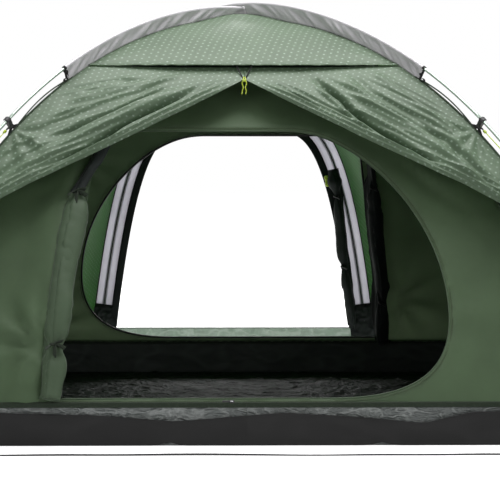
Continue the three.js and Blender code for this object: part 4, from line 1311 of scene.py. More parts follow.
def front_door_places(columns=290, rows=135):
    """x and z over a door: rows from its free edge up to the ridge, columns from its top corner outwards."""
    low = door_fold_line(columns)
    u = np.linspace(0, 1, columns)
    top_share = share_at(DOOR_TUCK_TOP, ridge)
    shares = top_share + (HEM_SHARE - top_share) * np.clip((u - 0.23) / 0.77, 0, 1)
    high = ridge(shares)[:, [0, 2]]
    high[:, 0] -= FRONT_INSET
    corner = high[0].copy()
    straight = u < 0.23
    high[straight, 0] = corner[0] * u[straight] / 0.23
    high[straight, 1] = corner[1] + 0.006 + 0.004 * eased(u[straight] / 0.23, 0.35, 0.85)
    # More rows near the free edge, where the folds are tight.
    v = shares_down(rows) ** 1.4
    x = low[None, :, 0] + 0.0006 + (high[None, :, 0] - low[None, :, 0] - 0.0006) * v
    z = low[None, :, 1] + (high[None, :, 1] - low[None, :, 1]) * v
    return x, z, u, low, high


def fly_front_door(side):
    x, z, u, low, high = front_door_places()
    dense = np.linspace(0, 1, 4001)
    heights = ridge(dense)[::-1, 2]
    shares = np.interp(z, heights, dense[::-1])
    y = -ridge(shares)[..., 1] + 0.008 * (1 - eased(u[None], 0.069, 0.1955))
    fall = np.interp(shares, dense, lengths_along(ridge(dense)[:, 1:]))
    places = together(x, fall)
    seen = together(x, z)
    # Distance from the free edge and from the ridge, in the door's own plane.
    edge_way = directions(low)
    offset = seen - low[None]
    from_edge = np.abs(offset[..., 0] * edge_way[None, :, 1] - offset[..., 1] * edge_way[None, :, 0])
    ridge_way = directions(high)
    beyond = high[None] - seen
    from_ridge = np.abs(beyond[..., 0] * ridge_way[None, :, 1] - beyond[..., 1] * ridge_way[None, :, 0])
    wander = ripples(places, 0.5, 60 + side, layers=2)
    relief = 0.0012 * wander
    for line, height, width in (LEFT_FOLDS if side < 0 else RIGHT_FOLDS):
        relief += one_fold(seen, line, height, 0.72 * width)
    heads, feet = FAN[side]
    relief += fold_fan(seen, heads, feet, 90 + side)
    relief = relief * eased(from_edge, 0.004, 0.03) * eased(from_ridge, 0.0, 0.035)
    # The edge is rolled up: two or three tight rolls run along it.
    gathered = eased(u[None], 0.0, 0.1) * (0.6 + 0.4 * arched(np.clip(u[None] * 1.2, 0, 1)))
    pace = 0.015 + 0.003 * wander
    tight = 1 - 2 * np.abs(np.sin(math.pi * (from_edge + 0.0005) / pace))
    relief += 0.0048 * tight * gathered * hump(from_edge, 0.034) * eased(from_edge, 0, 0.003)
    relief += 0.01 * gathered * hump(from_edge, 0.045)
    hook = ridge(np.array(HOOK_SHARE))
    pull = seen - hook[[0, 2]]
    hooked = 0.0034 * pull_folds(pull, (0, 0), 8, 0.14, turn=0.4, seed=70 + side)
    relief += (hooked + 0.0007 * ripples(places, 0.12, 80 + side)) * eased(from_ridge, 0, 0.025)
    # The edge itself turns under.
    relief -= 0.014 * (1 - eased(from_edge, 0.0, 0.006)) * gathered
    name = SIDE_NAMES[side]
    points = together(side * x, y, z)
    # The pattern of the cloth follows every fold, so each step down the cloth is as long as it is drawn.
    step = lengths_of(np.diff(points, axis=0))
    slack = np.hypot(step, np.diff(relief, axis=0)) - step
    slack = end_to_end(np.cumsum(slack[::-1], axis=0)[::-1], np.zeros((1, slack.shape[1])))
    unrolled = (side * x, fall + slack)
    long_side = float(lengths_along(points[0])[-1])
    cut = (round(long_side, 3), round(grid_area(points) / long_side / 0.7, 3))
    cloth = Cloth(f"fly_front_{name}_door_cloth", points, relief, "fly",
                  nodes=[f"fly_front_{name}_door"], unrolled=unrolled, held="gathered", cut=cut)
    hem = [cloth.line(row, STITCH_LIFT)[0][20:] for row in (0.085, 0.12)]
    stitches(f"fly_front_{name}_door_stitches", hem)


def painted_vent_shade():
    """A black sheet of painted shade in the vent slit, from under the hood down behind the top of the doors.
    """
    heights = np.linspace(1.004, 0.966, 9)[:, None]
    x = np.linspace(-0.372, 0.372, 90)[None]
    inward = 0.006 + 0.008 * (1 - (x / 0.38) ** 2)
    y = -ridge(share_at(heights, ridge))[..., 1] + inward
    grid = np.stack(np.broadcast_arrays(x, y, heights), axis=-1)
    Cloth("painted_vent_shade_cloth", grid, np.zeros(grid.shape[:2]), "black")


fly_side(-1)
fly_side(1)
fly_brow()
fly_front_door(-1)
fly_front_door(1)
painted_vent_shade()


# ---- inner walls
DOOR_FAR = 0.528
HINGE_RISE = 0.884
HINGE_HEIGHT = HINGE_RISE * (DOOR_TOP - DOOR_SILL)
ROLL_TIES = (0.64, 0.25)
HINGES = {"front": (-0.5, -0.407), "rear": (-0.5, -0.402)}  # its foot and its top


def bezier(a, b, c, d, steps=24):
    s = np.linspace(0, 1, steps, endpoint=False)[:, None]
    a, b, c, d = map(np.asarray, (a, b, c, d))
    return (1 - s) ** 3 * a + 3 * s * (1 - s) ** 2 * b + 3 * s * s * (1 - s) * c + s ** 3 * d


def door_outline(end):
    """The D of an inner door, x and z, from the foot of its hinge along the sill and over the top."""
    foot, top = HINGES[end]

    def at(x, z):
        return (foot + (DOOR_FAR - foot) * x, DOOR_SILL + (DOOR_TOP - DOOR_SILL) * z)

    top_start = (top, at(0, HINGE_RISE)[1])
    parts = [np.linspace(at(0, 0), at(0.701, 0), 40)[:-1]]
    parts.append(bezier(at(0.701, 0), at(0.912, 0), at(1, 0.101), at(1, 0.304)))
    parts.append(bezier(at(1, 0.304), at(1, 0.551), at(0.902, 0.783), at(0.772, 0.913)))
    parts.append(bezier(at(0.772, 0.913), at(0.711, 0.971), at(0.661, 1), at(0.591, 1)))
    parts.append(np.linspace(at(0.591, 1), at(0.19, 1), 24)[:-1])
    parts.append(bezier(at(0.19, 1), at(0.13, 1), (top + 0.01, at(0, 0.957)[1]), top_start, 12))
    parts.append(np.linspace(top_start, at(0, 0), 36)[:-1])
    return np.concatenate(parts)


wall_shares = np.linspace(0, 1, 4001)
wall_heights = inner_corner(wall_shares)[:, 2]
wall_falls = lengths_along(inner_corner(wall_shares)[:, 1:])


def wall_share(z):
    return np.interp(z, wall_heights[::-1], wall_shares[::-1])


def wall_frame(z):
    """y of the front wall's outer face and its outward normal at a height, for the wall facing -Y."""
    share = wall_share(z)
    step = 0.002
    before, after = inner_corner(np.clip(share - step, 0.001, 1)), inner_corner(np.clip(share + step, 0, 1))
    slope = unit(after - before)
    outward = unit(together(np.zeros_like(share), -np.abs(slope[..., 2]), np.abs(slope[..., 1])))
    return -inner_corner(share)[..., 1], outward


def on_wall(line, lift=0.0):
    """Lays x and z on the front wall, a little outside it."""
    y, outward = wall_frame(line[:, 1])
    return together(line[:, 0], y, line[:, 1]) + outward * lift


def inside_outline(points, outline):
    x, y = points[:, 0][:, None], points[:, 1][:, None]
    x1, y1 = outline[:, 0][None], outline[:, 1][None]
    x2, y2 = np.roll(outline[:, 0], -1)[None], np.roll(outline[:, 1], -1)[None]
    crosses = (y1 > y) != (y2 > y)
    where = (x2 - x1) * (y - y1) / np.where(y2 == y1, 1e-12, y2 - y1) + x1
    return (crosses & (x < where)).sum(axis=1) % 2 == 1


# Creases of the front wall, as places x and z along each, its height and its half width.
WALL_FOLDS = [
    ([(-0.52, 0.43), (-0.532, 0.37), (-0.545, 0.27)], -0.006, 0.011),
    ([(-0.1, 0.9), (-0.16, 0.85), (-0.21, 0.82)], -0.005, 0.008),
    ([(0.02, 0.93), (0.04, 0.87), (0.1, 0.83)], 0.005, 0.009),
    ([(0.16, 0.86), (0.3, 0.79), (0.42, 0.74)], -0.0065, 0.008),
    ([(0.22, 0.86), (0.36, 0.79), (0.5, 0.69), (0.6, 0.64)], 0.008, 0.014),
    ([(0.4, 0.75), (0.5, 0.65), (0.62, 0.58)], -0.007, 0.01),
    ([(0.54, 0.6), (0.62, 0.5), (0.68, 0.4)], 0.003, 0.02),
]


def wall_relief(x, z, end):
    """Soft unevenness, pulled into folds at the corners of the wall and at the ties of the roll."""
    foot, top = HINGES[end]
    places = together(x, z)
    relief = 0.0034 * ripples(places, 0.6, 90 if end == "front" else 93, layers=2)
    relief += 0.0085 * pull_folds(places, (foot - 0.04, 0.25), 8, 0.15, turn=0.3, seed=7)
    relief += 0.004 * pull_folds(places, (top - 0.07, 0.66), 6, 0.18, turn=0.9, seed=5)
    for side in (-1, 1):
        relief += 0.004 * pull_folds(places, (side * 0.88, 0.11), 5, 0.45, turn=0.2, seed=11 + side)
    relief += 0.003 * pull_folds(places, (0.5, 0.33), 5, 0.3, seed=3)
    if end == "front":
        for line, height, width in WALL_FOLDS:
            relief += one_fold(places[None], line, height, width)[0]
    else:
        relief += 0.009 * pull_folds(places, (0.66, 0.14), 11, 0.26, seed=61)
        relief += 0.007 * pull_folds(places, (0.52, 0.74), 10, 0.16, seed=62)
    tight = 0.0014 * np.cos(x * 190 + 2.0 * ripples(places, 0.3, 14)) * hump(z - 0.102, 0.022)
    return relief + tight


def roll_swell(x, z):
    """The front wall swells up to the roll that hangs from it, and sinks again behind it."""
    foot, top = HINGES["front"]
    beside = foot + (top - foot) * (z - DOOR_SILL) / HINGE_HEIGHT - x
    swell = eased(beside, 0.15, 0.05) * eased(beside, 0.022, 0.05) * eased(z, 0.9, 0.55)
    tied = 1 - 0.4 * sum(hump(z - height, 0.035) for height in ROLL_TIES)
    return 0.033 * swell * tied


def wall_grid(outline):
    """Points spread evenly inside the wall, kept clear of its own edges and of the door's."""
    rows = []
    for number, z in enumerate(np.arange(0.112, INNER_CROWN - 0.004, 0.0155)):
        half = inner_corner(wall_share(z))[0] - 0.003 - 0.008
        if half > 0.01:
            x = np.arange(-half + 0.004 * (number % 2), half, 0.016)
            rows.append(together(x, np.full(len(x), z)))
    grid = np.concatenate(rows)
    gap = np.min(lengths_of(grid[:, None] - outline[None]), axis=1)
    return grid[(gap > 0.01) & ~inside_outline(grid, outline)]


def end_wall(end):
    """The front or rear wall with its D door cut out. The rear wall is the front one turned round."""
    front = end == "front"
    door = door_outline(end)
    shares = np.linspace(1, CROWN_SHARE, 90)
    corner = inner_corner(shares)
    right = together(corner[:, 0] - 0.003, corner[:, 2])
    bottom = together(np.linspace(-1, 1, 90) * right[0, 0], np.full(90, right[0, 1]))
    rim = end_to_end(bottom[:-1], right, right[::-1] * [-1, 1])[:-1]
    grid = wall_grid(door)
    points = end_to_end(rim, door, grid)
    loops = []
    for first, size in ((0, len(rim)), (len(rim), len(door))):
        loops += [(first + index, first + (index + 1) % size) for index in range(size)]
    made, _, faces, *_ = delaunay_2d_cdt([Vector(point) for point in points], loops, [], 0, 1e-6)
    flat = np.array([tuple(point) for point in made])
    faces = np.array([tuple(face) for face in faces if len(face) == 3])
    middles = flat[faces].mean(axis=1)
    faces = faces[inside_outline(middles, rim) & ~inside_outline(middles, door)]
    y, outward = wall_frame(flat[:, 1])
    place = together(flat[:, 0], y, flat[:, 1])
    gap = np.min(lengths_of(flat[:, None] - rim[None]), axis=1)
    near_door = np.min(lengths_of(flat[:, None] - door[None]), axis=1)
    held = 0.35 + 0.65 * eased(near_door, 0.0, 0.06)
    height = wall_relief(flat[:, 0], flat[:, 1], end) * held
    if front:
        height += roll_swell(flat[:, 0], flat[:, 1])
    height *= eased(gap, 0.0, 0.05)
    height += hem_band(near_door, 0.013, 0.0006)
    place += outward * height[:, None]
    way = np.cross(place[faces[:, 1]] - place[faces[:, 0]], place[faces[:, 2]] - place[faces[:, 0]])
    if way[:, 1].mean() > 0:
        faces = faces[:, ::-1]
    fall = np.interp(wall_share(flat[:, 1]), wall_shares, wall_falls)
    pattern = together(flat[:, 0], fall)
    if not front:
        place *= [-1, -1, 1]
    piece = mesh_object(f"inner_{end}_wall_cloth", place, faces, pattern[faces].reshape(-1, 2))
    thicken(piece, CLOTH)
    belongs(piece, "inner", nodes=[f"inner_{end}_wall"])
    size = (INNER_X, round(float(np.ptp(fall)) + 0.001, 3))


def turn_round(line, front):
    """The front wall's line, or the same line on the rear wall."""
    return line if front else line * [-1, -1, 1]


def door_edge(end):
    """Zip, binding and stitches round a door: pale at the front, black at the rear."""
    front = end == "front"
    door = door_outline(end)
    closed = evenly(end_to_end(door, door[:1]), 900)
    way = directions(closed)
    out = together(way[:, 1], -way[:, 0])
    # The zip runs along the sill and over the top, not up the hinge.
    zipped = closed[: int(900 * 0.78)]
    zipped_out = out[: len(zipped)]
    size = 0.0016 if front else 0.0034
    piping = turn_round(on_wall(closed - out * 0.001, 0.0 if front else -0.001), front)
    round_tube(f"inner_{end}_door_piping", piping, size, "piping" if front else "black_zip", sides=8)
    coil = on_wall(zipped + zipped_out * 0.0065, 0.0012)
    _, normals = wall_frame(zipped[:, 1])
    coil, normals = turn_round(coil, front), turn_round(normals, front)
    zip_coil(f"inner_{end}_door_zip", coil, "zip" if front else "black_zip", normals)
    rows = [turn_round(on_wall(closed + out * reach, 0.0009), front) for reach in (0.0115, 0.0155)]
    stitches(f"inner_{end}_door_stitches", rows, "thread" if front else "black_thread")


def inner_side(side):
    shares = np.linspace(CROWN_SHARE, 1, 105)
    points, unrolled, down, across = side_panel(inner_corner, shares, 121, 0.003, side)
    places = together(*unrolled)
    relief = 0.003 * ripples(places, 0.6, 50 + side)
    for end in (-1, 1):
        relief += 0.011 * pull_folds(places, (end * 1.02, down[-1] - 0.1), 10, 0.5, seed=33 + end)
        relief += 0.003 * pull_folds(places, (end * 0.62, down[-1] * 0.45), 6, 0.35, seed=37 + end)
    relief = relief * edge_fade((across + 1) / 2, 0.04) * eased(1 - shares[:, None], 0, 0.03)
    name = SIDE_NAMES[side]
    Cloth(f"inner_{name}_wall_cloth", points, relief, "inner", nodes=[f"inner_{name}_wall"],
          unrolled=unrolled, held="hung")


def corner_seams():
    """The bound seams down the four corners of the inner."""
    shares = np.linspace(CROWN_SHARE + 0.005, 0.995, 90)
    for x, y, corner in CORNERS:
        line = inner_corner(shares) * [x, y, 1] + np.array([x, y, 0]) * 0.0008
        tape(f"inner_seam_{corner}", line, pole_side(x * y), 0.009, 0.0012, "green_tape")


# ---- rolled doors
def roll_section(radius, turns, flap, stand, wide, deep, per_turn=18):
    """A cloth rolled up from its free edge, in section, and the flap that runs back to its seam."""
    start = 0.25 * math.pi * 2 - turns * 2 * math.pi
    angle = np.linspace(start, 0.5 * math.pi, int(turns * per_turn))
    grow = np.linspace(0.16, 1.0, len(angle)) * radius
    curl = together(grow * np.cos(angle) * wide, grow * np.sin(angle) * deep)
    top = curl[-1]
    ends = [top, top + [-0.5 * flap, 0.0], [-0.6 * flap, -stand], [-flap, -stand]]
    sweep = bezier(*ends, steps=FLAP_POINTS + 1)[1:]
    return end_to_end(curl, sweep)


def rolled_door(name, spine, side, ties, look, node, turns, radius, flap, stand, wide=1.35, ragged=0.0,
                seed=1, thin_above=None, foot_swell=0.0, head_swell=0.0, pinched=0.5, black_lining_and_shade=False):
    """A door rolled along its hinge and cinched by its ties. side points across the roll, in the wall."""
    path = evenly(spine, ROLL_ROWS)
    gone = lengths_along(path)
    from_foot = gone if path[0, 2] < path[-1, 2] else gone[-1] - gone
    sides, ups = frames_of(path, side)
    base = roll_section(radius, turns, flap, stand, wide, 0.95)
    fuller = ripples_along(gone, 0.22, seed, layers=2)
    pinch = np.ones(len(path))
    for tie in ties:
        pinch *= (1 - pinched * hump(gone - tie, 0.03))
    swell = pinch * (1 + 0.09 * fuller)
    if thin_above is not None:
        swell *= (1 - 0.48 * eased(path[:, 2] - thin_above, -0.01, 0.03))
    swell *= (1 + foot_swell * hump(from_foot, 0.05))
    swell *= (1 + head_swell * hump(gone[-1] - 0.05 - from_foot, 0.028))
    angle = np.linspace(0, 1, len(base))
    lumps = ripples(np.stack(np.meshgrid(gone, angle * 0.9, indexing="ij"), axis=-1), 0.1, seed + 5)
    outer = eased(angle, 0.55, 1.0)[None]
    scale = swell[:, None] * (1 + 0.12 * lumps * outer)
    flat = base[None] * scale[..., None]
    settled = eased(np.arange(len(base)), len(base) - FLAP_POINTS, len(base) - 1)[None, :, None]
    flat = flat * (1 - settled) + base[None] * settled
    narrow = 1 - 0.35 * hump(from_foot, 0.06)
    if thin_above is not None:
        narrow *= (1 - 0.5 * eased(path[:, 2] - thin_above, -0.02, 0.04))
    flat[..., 0] = np.where(flat[..., 0] < 0, flat[..., 0] * narrow[:, None], flat[..., 0])
    near_tie = sum(hump(gone - tie, 0.045) for tie in ties)
    flutes = np.cos(np.arange(len(base)) * 1.25)[None] * near_tie[:, None] * 0.0036
    # A long slanting crease winds round the roll between its ties.
    winding = 0.0022 * np.sin(angle[None] * 130 + gone[:, None] * 16 + 1.5 * lumps)
    flat += unit(flat) * (flutes + winding)[..., None] * outer[..., None]
    # The door's own seam shows where the cloth leaves the roll, puckered along its stitches.
    seam = len(base) - FLAP_POINTS + int(np.abs(base[-FLAP_POINTS:, 0] + 0.3 * flap).argmin())
    beside = np.abs(np.arange(len(base)) - seam)[None]
    pucker = np.cos(gone[:, None] * 2 * math.pi / 0.013)
    flat[..., 1] += (-0.0044 * hump(beside, 1.3) + 0.0018 * pucker * hump(beside, 2.6))
    points = path[:, None] + flat[..., :1] * sides[:, None] + flat[..., 1:] * ups[:, None]
    if ragged:
        drop = ragged * ripples(angle[:, None] * 1.0, 0.06, seed + 9, layers=2)
        fade = hump(from_foot, 0.05)
        points[..., 2] += fade[:, None] * drop[None]
    u = np.broadcast_to(lengths_along(base), flat.shape[:2])
    v = np.broadcast_to(gone[:, None], flat.shape[:2])
    faces = grid_faces(*flat.shape[:2])
    uvs = corner_uvs_of_grid(u, v)
    piece = mesh_object(name, points.reshape(-1, 3), faces, uvs)
    thicken(piece, 0.0005, offset=0.0)
    belongs(piece, look, nodes=[node])
    if black_lining_and_shade:
        # Above its upper tie the roll is drawn in black: partly the door's dark lining, partly painted shade
        # under the fly.
        piece.data.materials.append(looks["black"])
        dark = np.repeat(path[:-1, 2] > thin_above, len(base) - 1).astype(np.int32)
        piece.data.polygons.foreach_set("material_index", dark)
    stitches(f"{name}_seam_stitches", [points[4:-4, seam] + ups[4:-4] * 0.0006],
             "thread" if look == "roll" else "black_thread")
    return path, sides, ups


def roll_tie(name, frames, gone, size, look="webbing", toggle="plastic", wide=1.3, aside=False):
    """An elastic loop round the roll, closed by a toggle on its face or beside it, or by a knot."""
    path, sides, ups = frames
    at = int(np.argmin(np.abs(lengths_along(path) - gone)))
    centre, side, up = path[at], sides[at], ups[at]
    way = np.cross(side, up)
    angle = np.linspace(0, 2 * math.pi, 41)[:, None]
    loop = centre + size * (wide * np.cos(angle) * side + np.sin(angle) * up)
    loop += way * 0.003 * np.sin(2 * angle)
    out = unit(np.cos(angle) * side / wide + np.sin(angle) * up)
    outline = flat_outline(0.006, 0.0016)
    rings = loop[:, None] + outline[None, :, :1] * way + outline[None, :, 1:] * out[:, None]
    merge_seam(skin(name + "_loop", rings, look, capped=False))
    places = np.linspace(-0.5, 0.5, 15)[:, None]
    if toggle:
        radius = (2.1 if aside else 1.0) * (0.0042 - 0.001 * hump(places[:, 0], 0.12))
        spot = centre + (side * (size * wide + 0.0045) if aside else up * (size + 0.0045))
        barrel = spot + (way * places * 0.036 if aside else unit(side + 0.6 * way) * places * 0.026)
        round_tube(name + "_toggle", barrel, radius, toggle, sides=16)
        return
    for number, (lean, long) in enumerate(((0.35, 0.034), (-0.5, 0.028), (1.5, 0.042), (2.6, 0.034))):
        bend = places + 0.5
        wing = centre + up * (size + 0.004 + 0.006 * arched(bend))
        wing += (side * math.cos(lean) + way * math.sin(lean)) * (bend * long - 0.006)
        twist = unit(up + way * (0.8 * np.cos(3 * bend + number)) + side * np.sin(2.4 * bend))
        tape(f"{name}_end_{number + 1}", wing, twist, 0.013, 0.0016, look)


def inner_door_roll(end):
    """The rolled door of the inner: outside its wall at the front, inside it at the rear."""
    front = end == "front"
    foot, top = HINGES[end]
    heights = np.linspace(DOOR_SILL + HINGE_HEIGHT + 0.04, DOOR_SILL - 0.006, 60)
    hinge = foot + (top - foot) * (heights - DOOR_SILL) / HINGE_HEIGHT
    beside, radius, wide, stand = (0.022, 0.0225, 1.5, 0.0246) if front else (0.022, 0.0215, 1.12, 0.0252)
    # Each roll leans its own way: the front one follows the head of its door, the rear one hangs upright.
    if front:
        hinge = hinge + 0.048 * eased(heights, 0.62, 0.78) + 0.016 * eased(heights, 0.42, 0.14)
    else:
        hinge = hinge + 0.03 * eased(heights, 0.36, 0.08) - 0.01 * eased(heights, 0.45, 0.68)
    flat = together(hinge - beside, heights)
    spine = turn_round(on_wall(flat, stand if front else -stand), front)
    across = np.array([1.0, 0.0, 0.0])
    path = evenly(spine, ROLL_ROWS)
    gone = lengths_along(path)
    ties = [float(np.interp(-height, -path[:, 2], gone)) for height in ROLL_TIES]
    # The rear roll is drawn in the black cloth: painted shade for the door's green cloth, which hangs unlit
    # inside the rear wall.
    # Both rolls run downwards with x to their side, so that each turns its back to its wall.
    frames = rolled_door(f"inner_{end}_door_rolled", spine, across, ties, "roll" if front else "black",
                         f"inner_{end}_door_roll", turns=10, radius=radius, flap=0.056 if front else 0.034,
                         stand=stand + 0.001 if front else radius * 0.86, wide=wide, seed=4 if front else 6,
                         thin_above=0.64, foot_swell=-0.08, pinched=0.55, black_lining_and_shade=front)
    for number, tie in enumerate(ties):
        roll_tie(f"inner_{end}_tie_{number + 1}", frames, tie, 0.0115, "seam_tape" if front else "webbing",
                 None if front else "plastic", wide)


end_wall("front")
end_wall("rear")
door_edge("front")
door_edge("rear")
inner_side(-1)
inner_side(1)
corner_seams()
inner_door_roll("front")
inner_door_roll("rear")


# ---- groundsheet
def tub_perimeter(grow=0.0, corner=0.006, per_side=280):
    """A rounded rectangle round the groundsheet, from the middle of the front, seen from above."""
    a, b = INNER_X / 2 + grow, INNER_Y / 2 + grow
    r = corner + max(grow, 0)
    turn = np.linspace(0, math.pi / 2, 9)
    arcs = [together(cx + r * np.cos(turn + start), cy + r * np.sin(turn + start))
            for cx, cy, start in ((a - r, -b + r, -math.pi / 2), (a - r, b - r, 0),
                                  (-a + r, b - r, math.pi / 2), (-a + r, -b + r, math.pi))]
    line = end_to_end([[0, -b]], *arcs, [[0, -b]])
    return evenly(line, 4 * per_side + 1)


def tub_floor():
    places = together(*np.meshgrid(np.linspace(-FLOOR_X, FLOOR_X, 178), np.linspace(-FLOOR_Y, FLOOR_Y, 170)))
    relief = 0.006 * crumples(places * [1, 0.5], 0.16, 4) + 0.002 * ripples(places * [1, 0.4], 0.05, 9)
    gap = [FLOOR_X, FLOOR_Y] - np.abs(places)
    edge = eased(gap[..., 0], 0, 0.03) * eased(gap[..., 1], 0, 0.03)
    relief = np.maximum(relief * edge, -0.0006)
    points = np.concatenate([places, np.full((*places.shape[:2], 1), 0.0015)], axis=-1)
    # Its creases run from front to back, so they are drawn out that way.
    Cloth("groundsheet_floor", points, relief, "tub", nodes=["groundsheet_tub"], heart=(0, 0, -5),
          unrolled=(places[..., 0], 0.35 * places[..., 1]), held="laid", cut=(1.797, 2.097))


def ring_sheet(name, line, heights, bulge, look, inner_look=None, nodes=()):
    """A band of cloth standing round the tub. heights and bulge are rows by places round it."""
    count = len(line) - 1
    out = directions(line)
    out = together(out[:, 1], -out[:, 0])
    rows = len(heights)
    points = np.zeros((rows, count, 3))
    points[..., :2] = line[None, :count] + out[None, :count] * bulge[:, :count, None]
    points[..., 2] = heights[:, :count]
    faces = grid_faces(rows, count, round_closed=True)
    gone = lengths_along(line)
    u = np.broadcast_to(gone, (rows, count + 1))
    v = np.concatenate([heights[:, :count], heights[:, :1]], axis=1)
    uvs = corner_uvs_of_grid(u, v)
    way = np.cross(points[1, 1] - points[0, 1], points[0, 2] - points[0, 1])
    if way @ np.append(out[1], 0) > 0:
        faces, uvs = turned_over(faces, uvs)
    piece = mesh_object(name, points.reshape(-1, 3), faces, uvs)
    wall = thicken(piece, 0.0009)
    belongs(piece, look, nodes=nodes)
    if inner_look:
        piece.data.materials.append(looks[inner_look])
        wall.material_offset = 1
        wall.material_offset_rim = 1


def tub_wall():
    line = tub_perimeter(-0.0002)
    rows = shares_down(18)
    heights = np.broadcast_to(0.001 + rows * (TUB_HEIGHT - 0.001), (18, len(line)))
    gone = np.broadcast_to(lengths_along(line), heights.shape)
    places = together(gone, heights)
    bulge = 0.0018 * crumples(places, 0.1, 12) * arched(rows) - 0.0012 * arched(rows)
    ring_sheet("groundsheet_wall", line, heights, bulge, "band", "tub_inside")


def skirt():
    """The dark skirt round the tub: its free upper edge wavers, and its foot lifts here and there."""
    line = tub_perimeter(0.0045)
    gone = lengths_along(line)
    x = line[:, 0]
    front = (line[:, 1] < -1.05) & (np.abs(x) < 0.9)
    edge_x = [-0.9, -0.63, -0.375, -0.184, 0.096, 0.326, 0.454, 0.58, 0.9]
    edge_z = [0.089, 0.086, 0.079, 0.063, 0.086, 0.071, 0.058, 0.088, 0.088]
    elsewhere = 0.078 + 0.01 * ripples_along(gone, 0.7, 15, layers=2)
    blend = eased(0.9 - np.abs(x), 0.0, 0.1) * (line[:, 1] < 0)
    measured = np.interp(x, edge_x, edge_z)
    measured = np.convolve(np.pad(measured, 6, mode="wrap"), np.hanning(13) / np.hanning(13).sum(), "valid")
    top = np.where(front, measured * blend + elsewhere * (1 - blend), elsewhere)
    foot = np.full(len(line), 0.0015)
    for place, lift in ((-0.2, 0.0085), (0.345, 0.008)):
        foot += np.where(line[:, 1] < 0, lift * hump(x - place, 0.022), 0)
    rows = shares_down(14)
    heights = foot + (top - foot) * rows
    places = together(np.broadcast_to(gone, heights.shape), heights)
    bulge = 0.0035 * (1 - rows) ** 2 + 0.0016 * ripples(places, 0.16, 16) * arched(0.15 + 0.8 * rows)
    bulge += 0.003 * (ripples(places[-1:], 0.25, 19) * 0.5 + 0.5) * eased(rows, 0.6, 1.0)
    ring_sheet("groundsheet_skirt", line, heights, np.maximum(bulge, -0.0008), "skirt")


def tub_joint():
    """The dark seam band that joins the walls of the inner to the tub, puckered along its stitches."""
    line = tub_perimeter(-0.0004)
    gone = lengths_along(line)
    path = np.column_stack([line, np.full(len(line), TUB_HEIGHT + 0.0052)])
    outline = flat_outline(0.015, 0.0046)
    puckers = 1 + 0.22 * ripples_along(gone, 0.02, 23, layers=2)
    shapes = outline[None] * together(np.ones(len(path)), puckers)[:, None]
    skin("tub_joint_band", rings_along(path, shapes, UP), "seam_tape")


tub_floor()
tub_wall()
skirt()
tub_joint()


# ---- porch
def porch_rim():
    """The edge of the hoop sleeve that the porch is sewn to, from the crown down to the hem, right side."""
    rim = hoop_offset(PORCH_SLEEVE_REACH)
    half = rim[len(rim) // 2:]
    half[0, 0] = 0.0
    foot = np.argmax(half[:, 2] < FLY_HEM)
    half = half[:foot]
    half[:, 1] = PORCH_Y - 0.0013
    return half


def porch_half(side):
    arm = ridge(np.linspace(CROWN_SHARE, HEM_SHARE, 300))
    arm = end_to_end(arm[:1] * [0, 1, 1], arm)
    dome = evenly(arm, 130)
    hoop = evenly(porch_rim(), 130)
    dome += unit([-FOOT_Y, FOOT_X, 0]) * 0.00145
    u = np.linspace(0, 1, 105)[None, :, None]
    points = dome[:, None] * (1 - u) + hoop[:, None] * u
    points[..., 0] = side * np.maximum(points[..., 0], 0.0012)
    v = shares_down(130)
    down = lengths_along(hoop)[:, None]
    reach = lengths_of(hoop - dome)[:, None] * u[..., 0]
    unrolled = (reach, side * np.broadcast_to(down, reach.shape))
    places = together(*unrolled)
    across = u[..., 0]
    relief = -0.012 * arched(across) * arched(v) + 0.0022 * ripples(places, 0.5, 44 + side)
    for anchor, seed in (((0.0, side * down[96, 0]), 46), ((reach.max() * 0.9, side * down[-8, 0]), 48)):
        relief += 0.005 * pull_folds(places, anchor, 7, 0.5, seed=seed)
    relief = relief * edge_fade(across, 0.04) * eased(v, 0.0, 0.06)
    from_hem = (1 - v) * down[-1]
    relief += hem_band(from_hem)
    name = SIDE_NAMES[side]
    cloth = Cloth(f"porch_{name}_cloth", points, relief, "porch", nodes=[f"porch_{name}_half"],
                  heart=(0, 1.6, 0.2), unrolled=unrolled)
    stitches(f"porch_{name}_hem_stitches", cloth.above_hem(down[-1, 0]))


def porch_ridge():
    """The seam tape along the top of the porch, where its two halves meet."""
    start = ridge(np.array(CROWN_SHARE)) * [0, 1, 1]
    end = porch_rim()[0]
    line = start + (end - start) * shares_down(60)
    line[:, 2] += 0.0016
    tape("porch_ridge_tape", line, (1, 0, 0), 0.014, 0.001, "green_tape")


def hoop_part(line, low):
    return line[line[:, 2] > low]


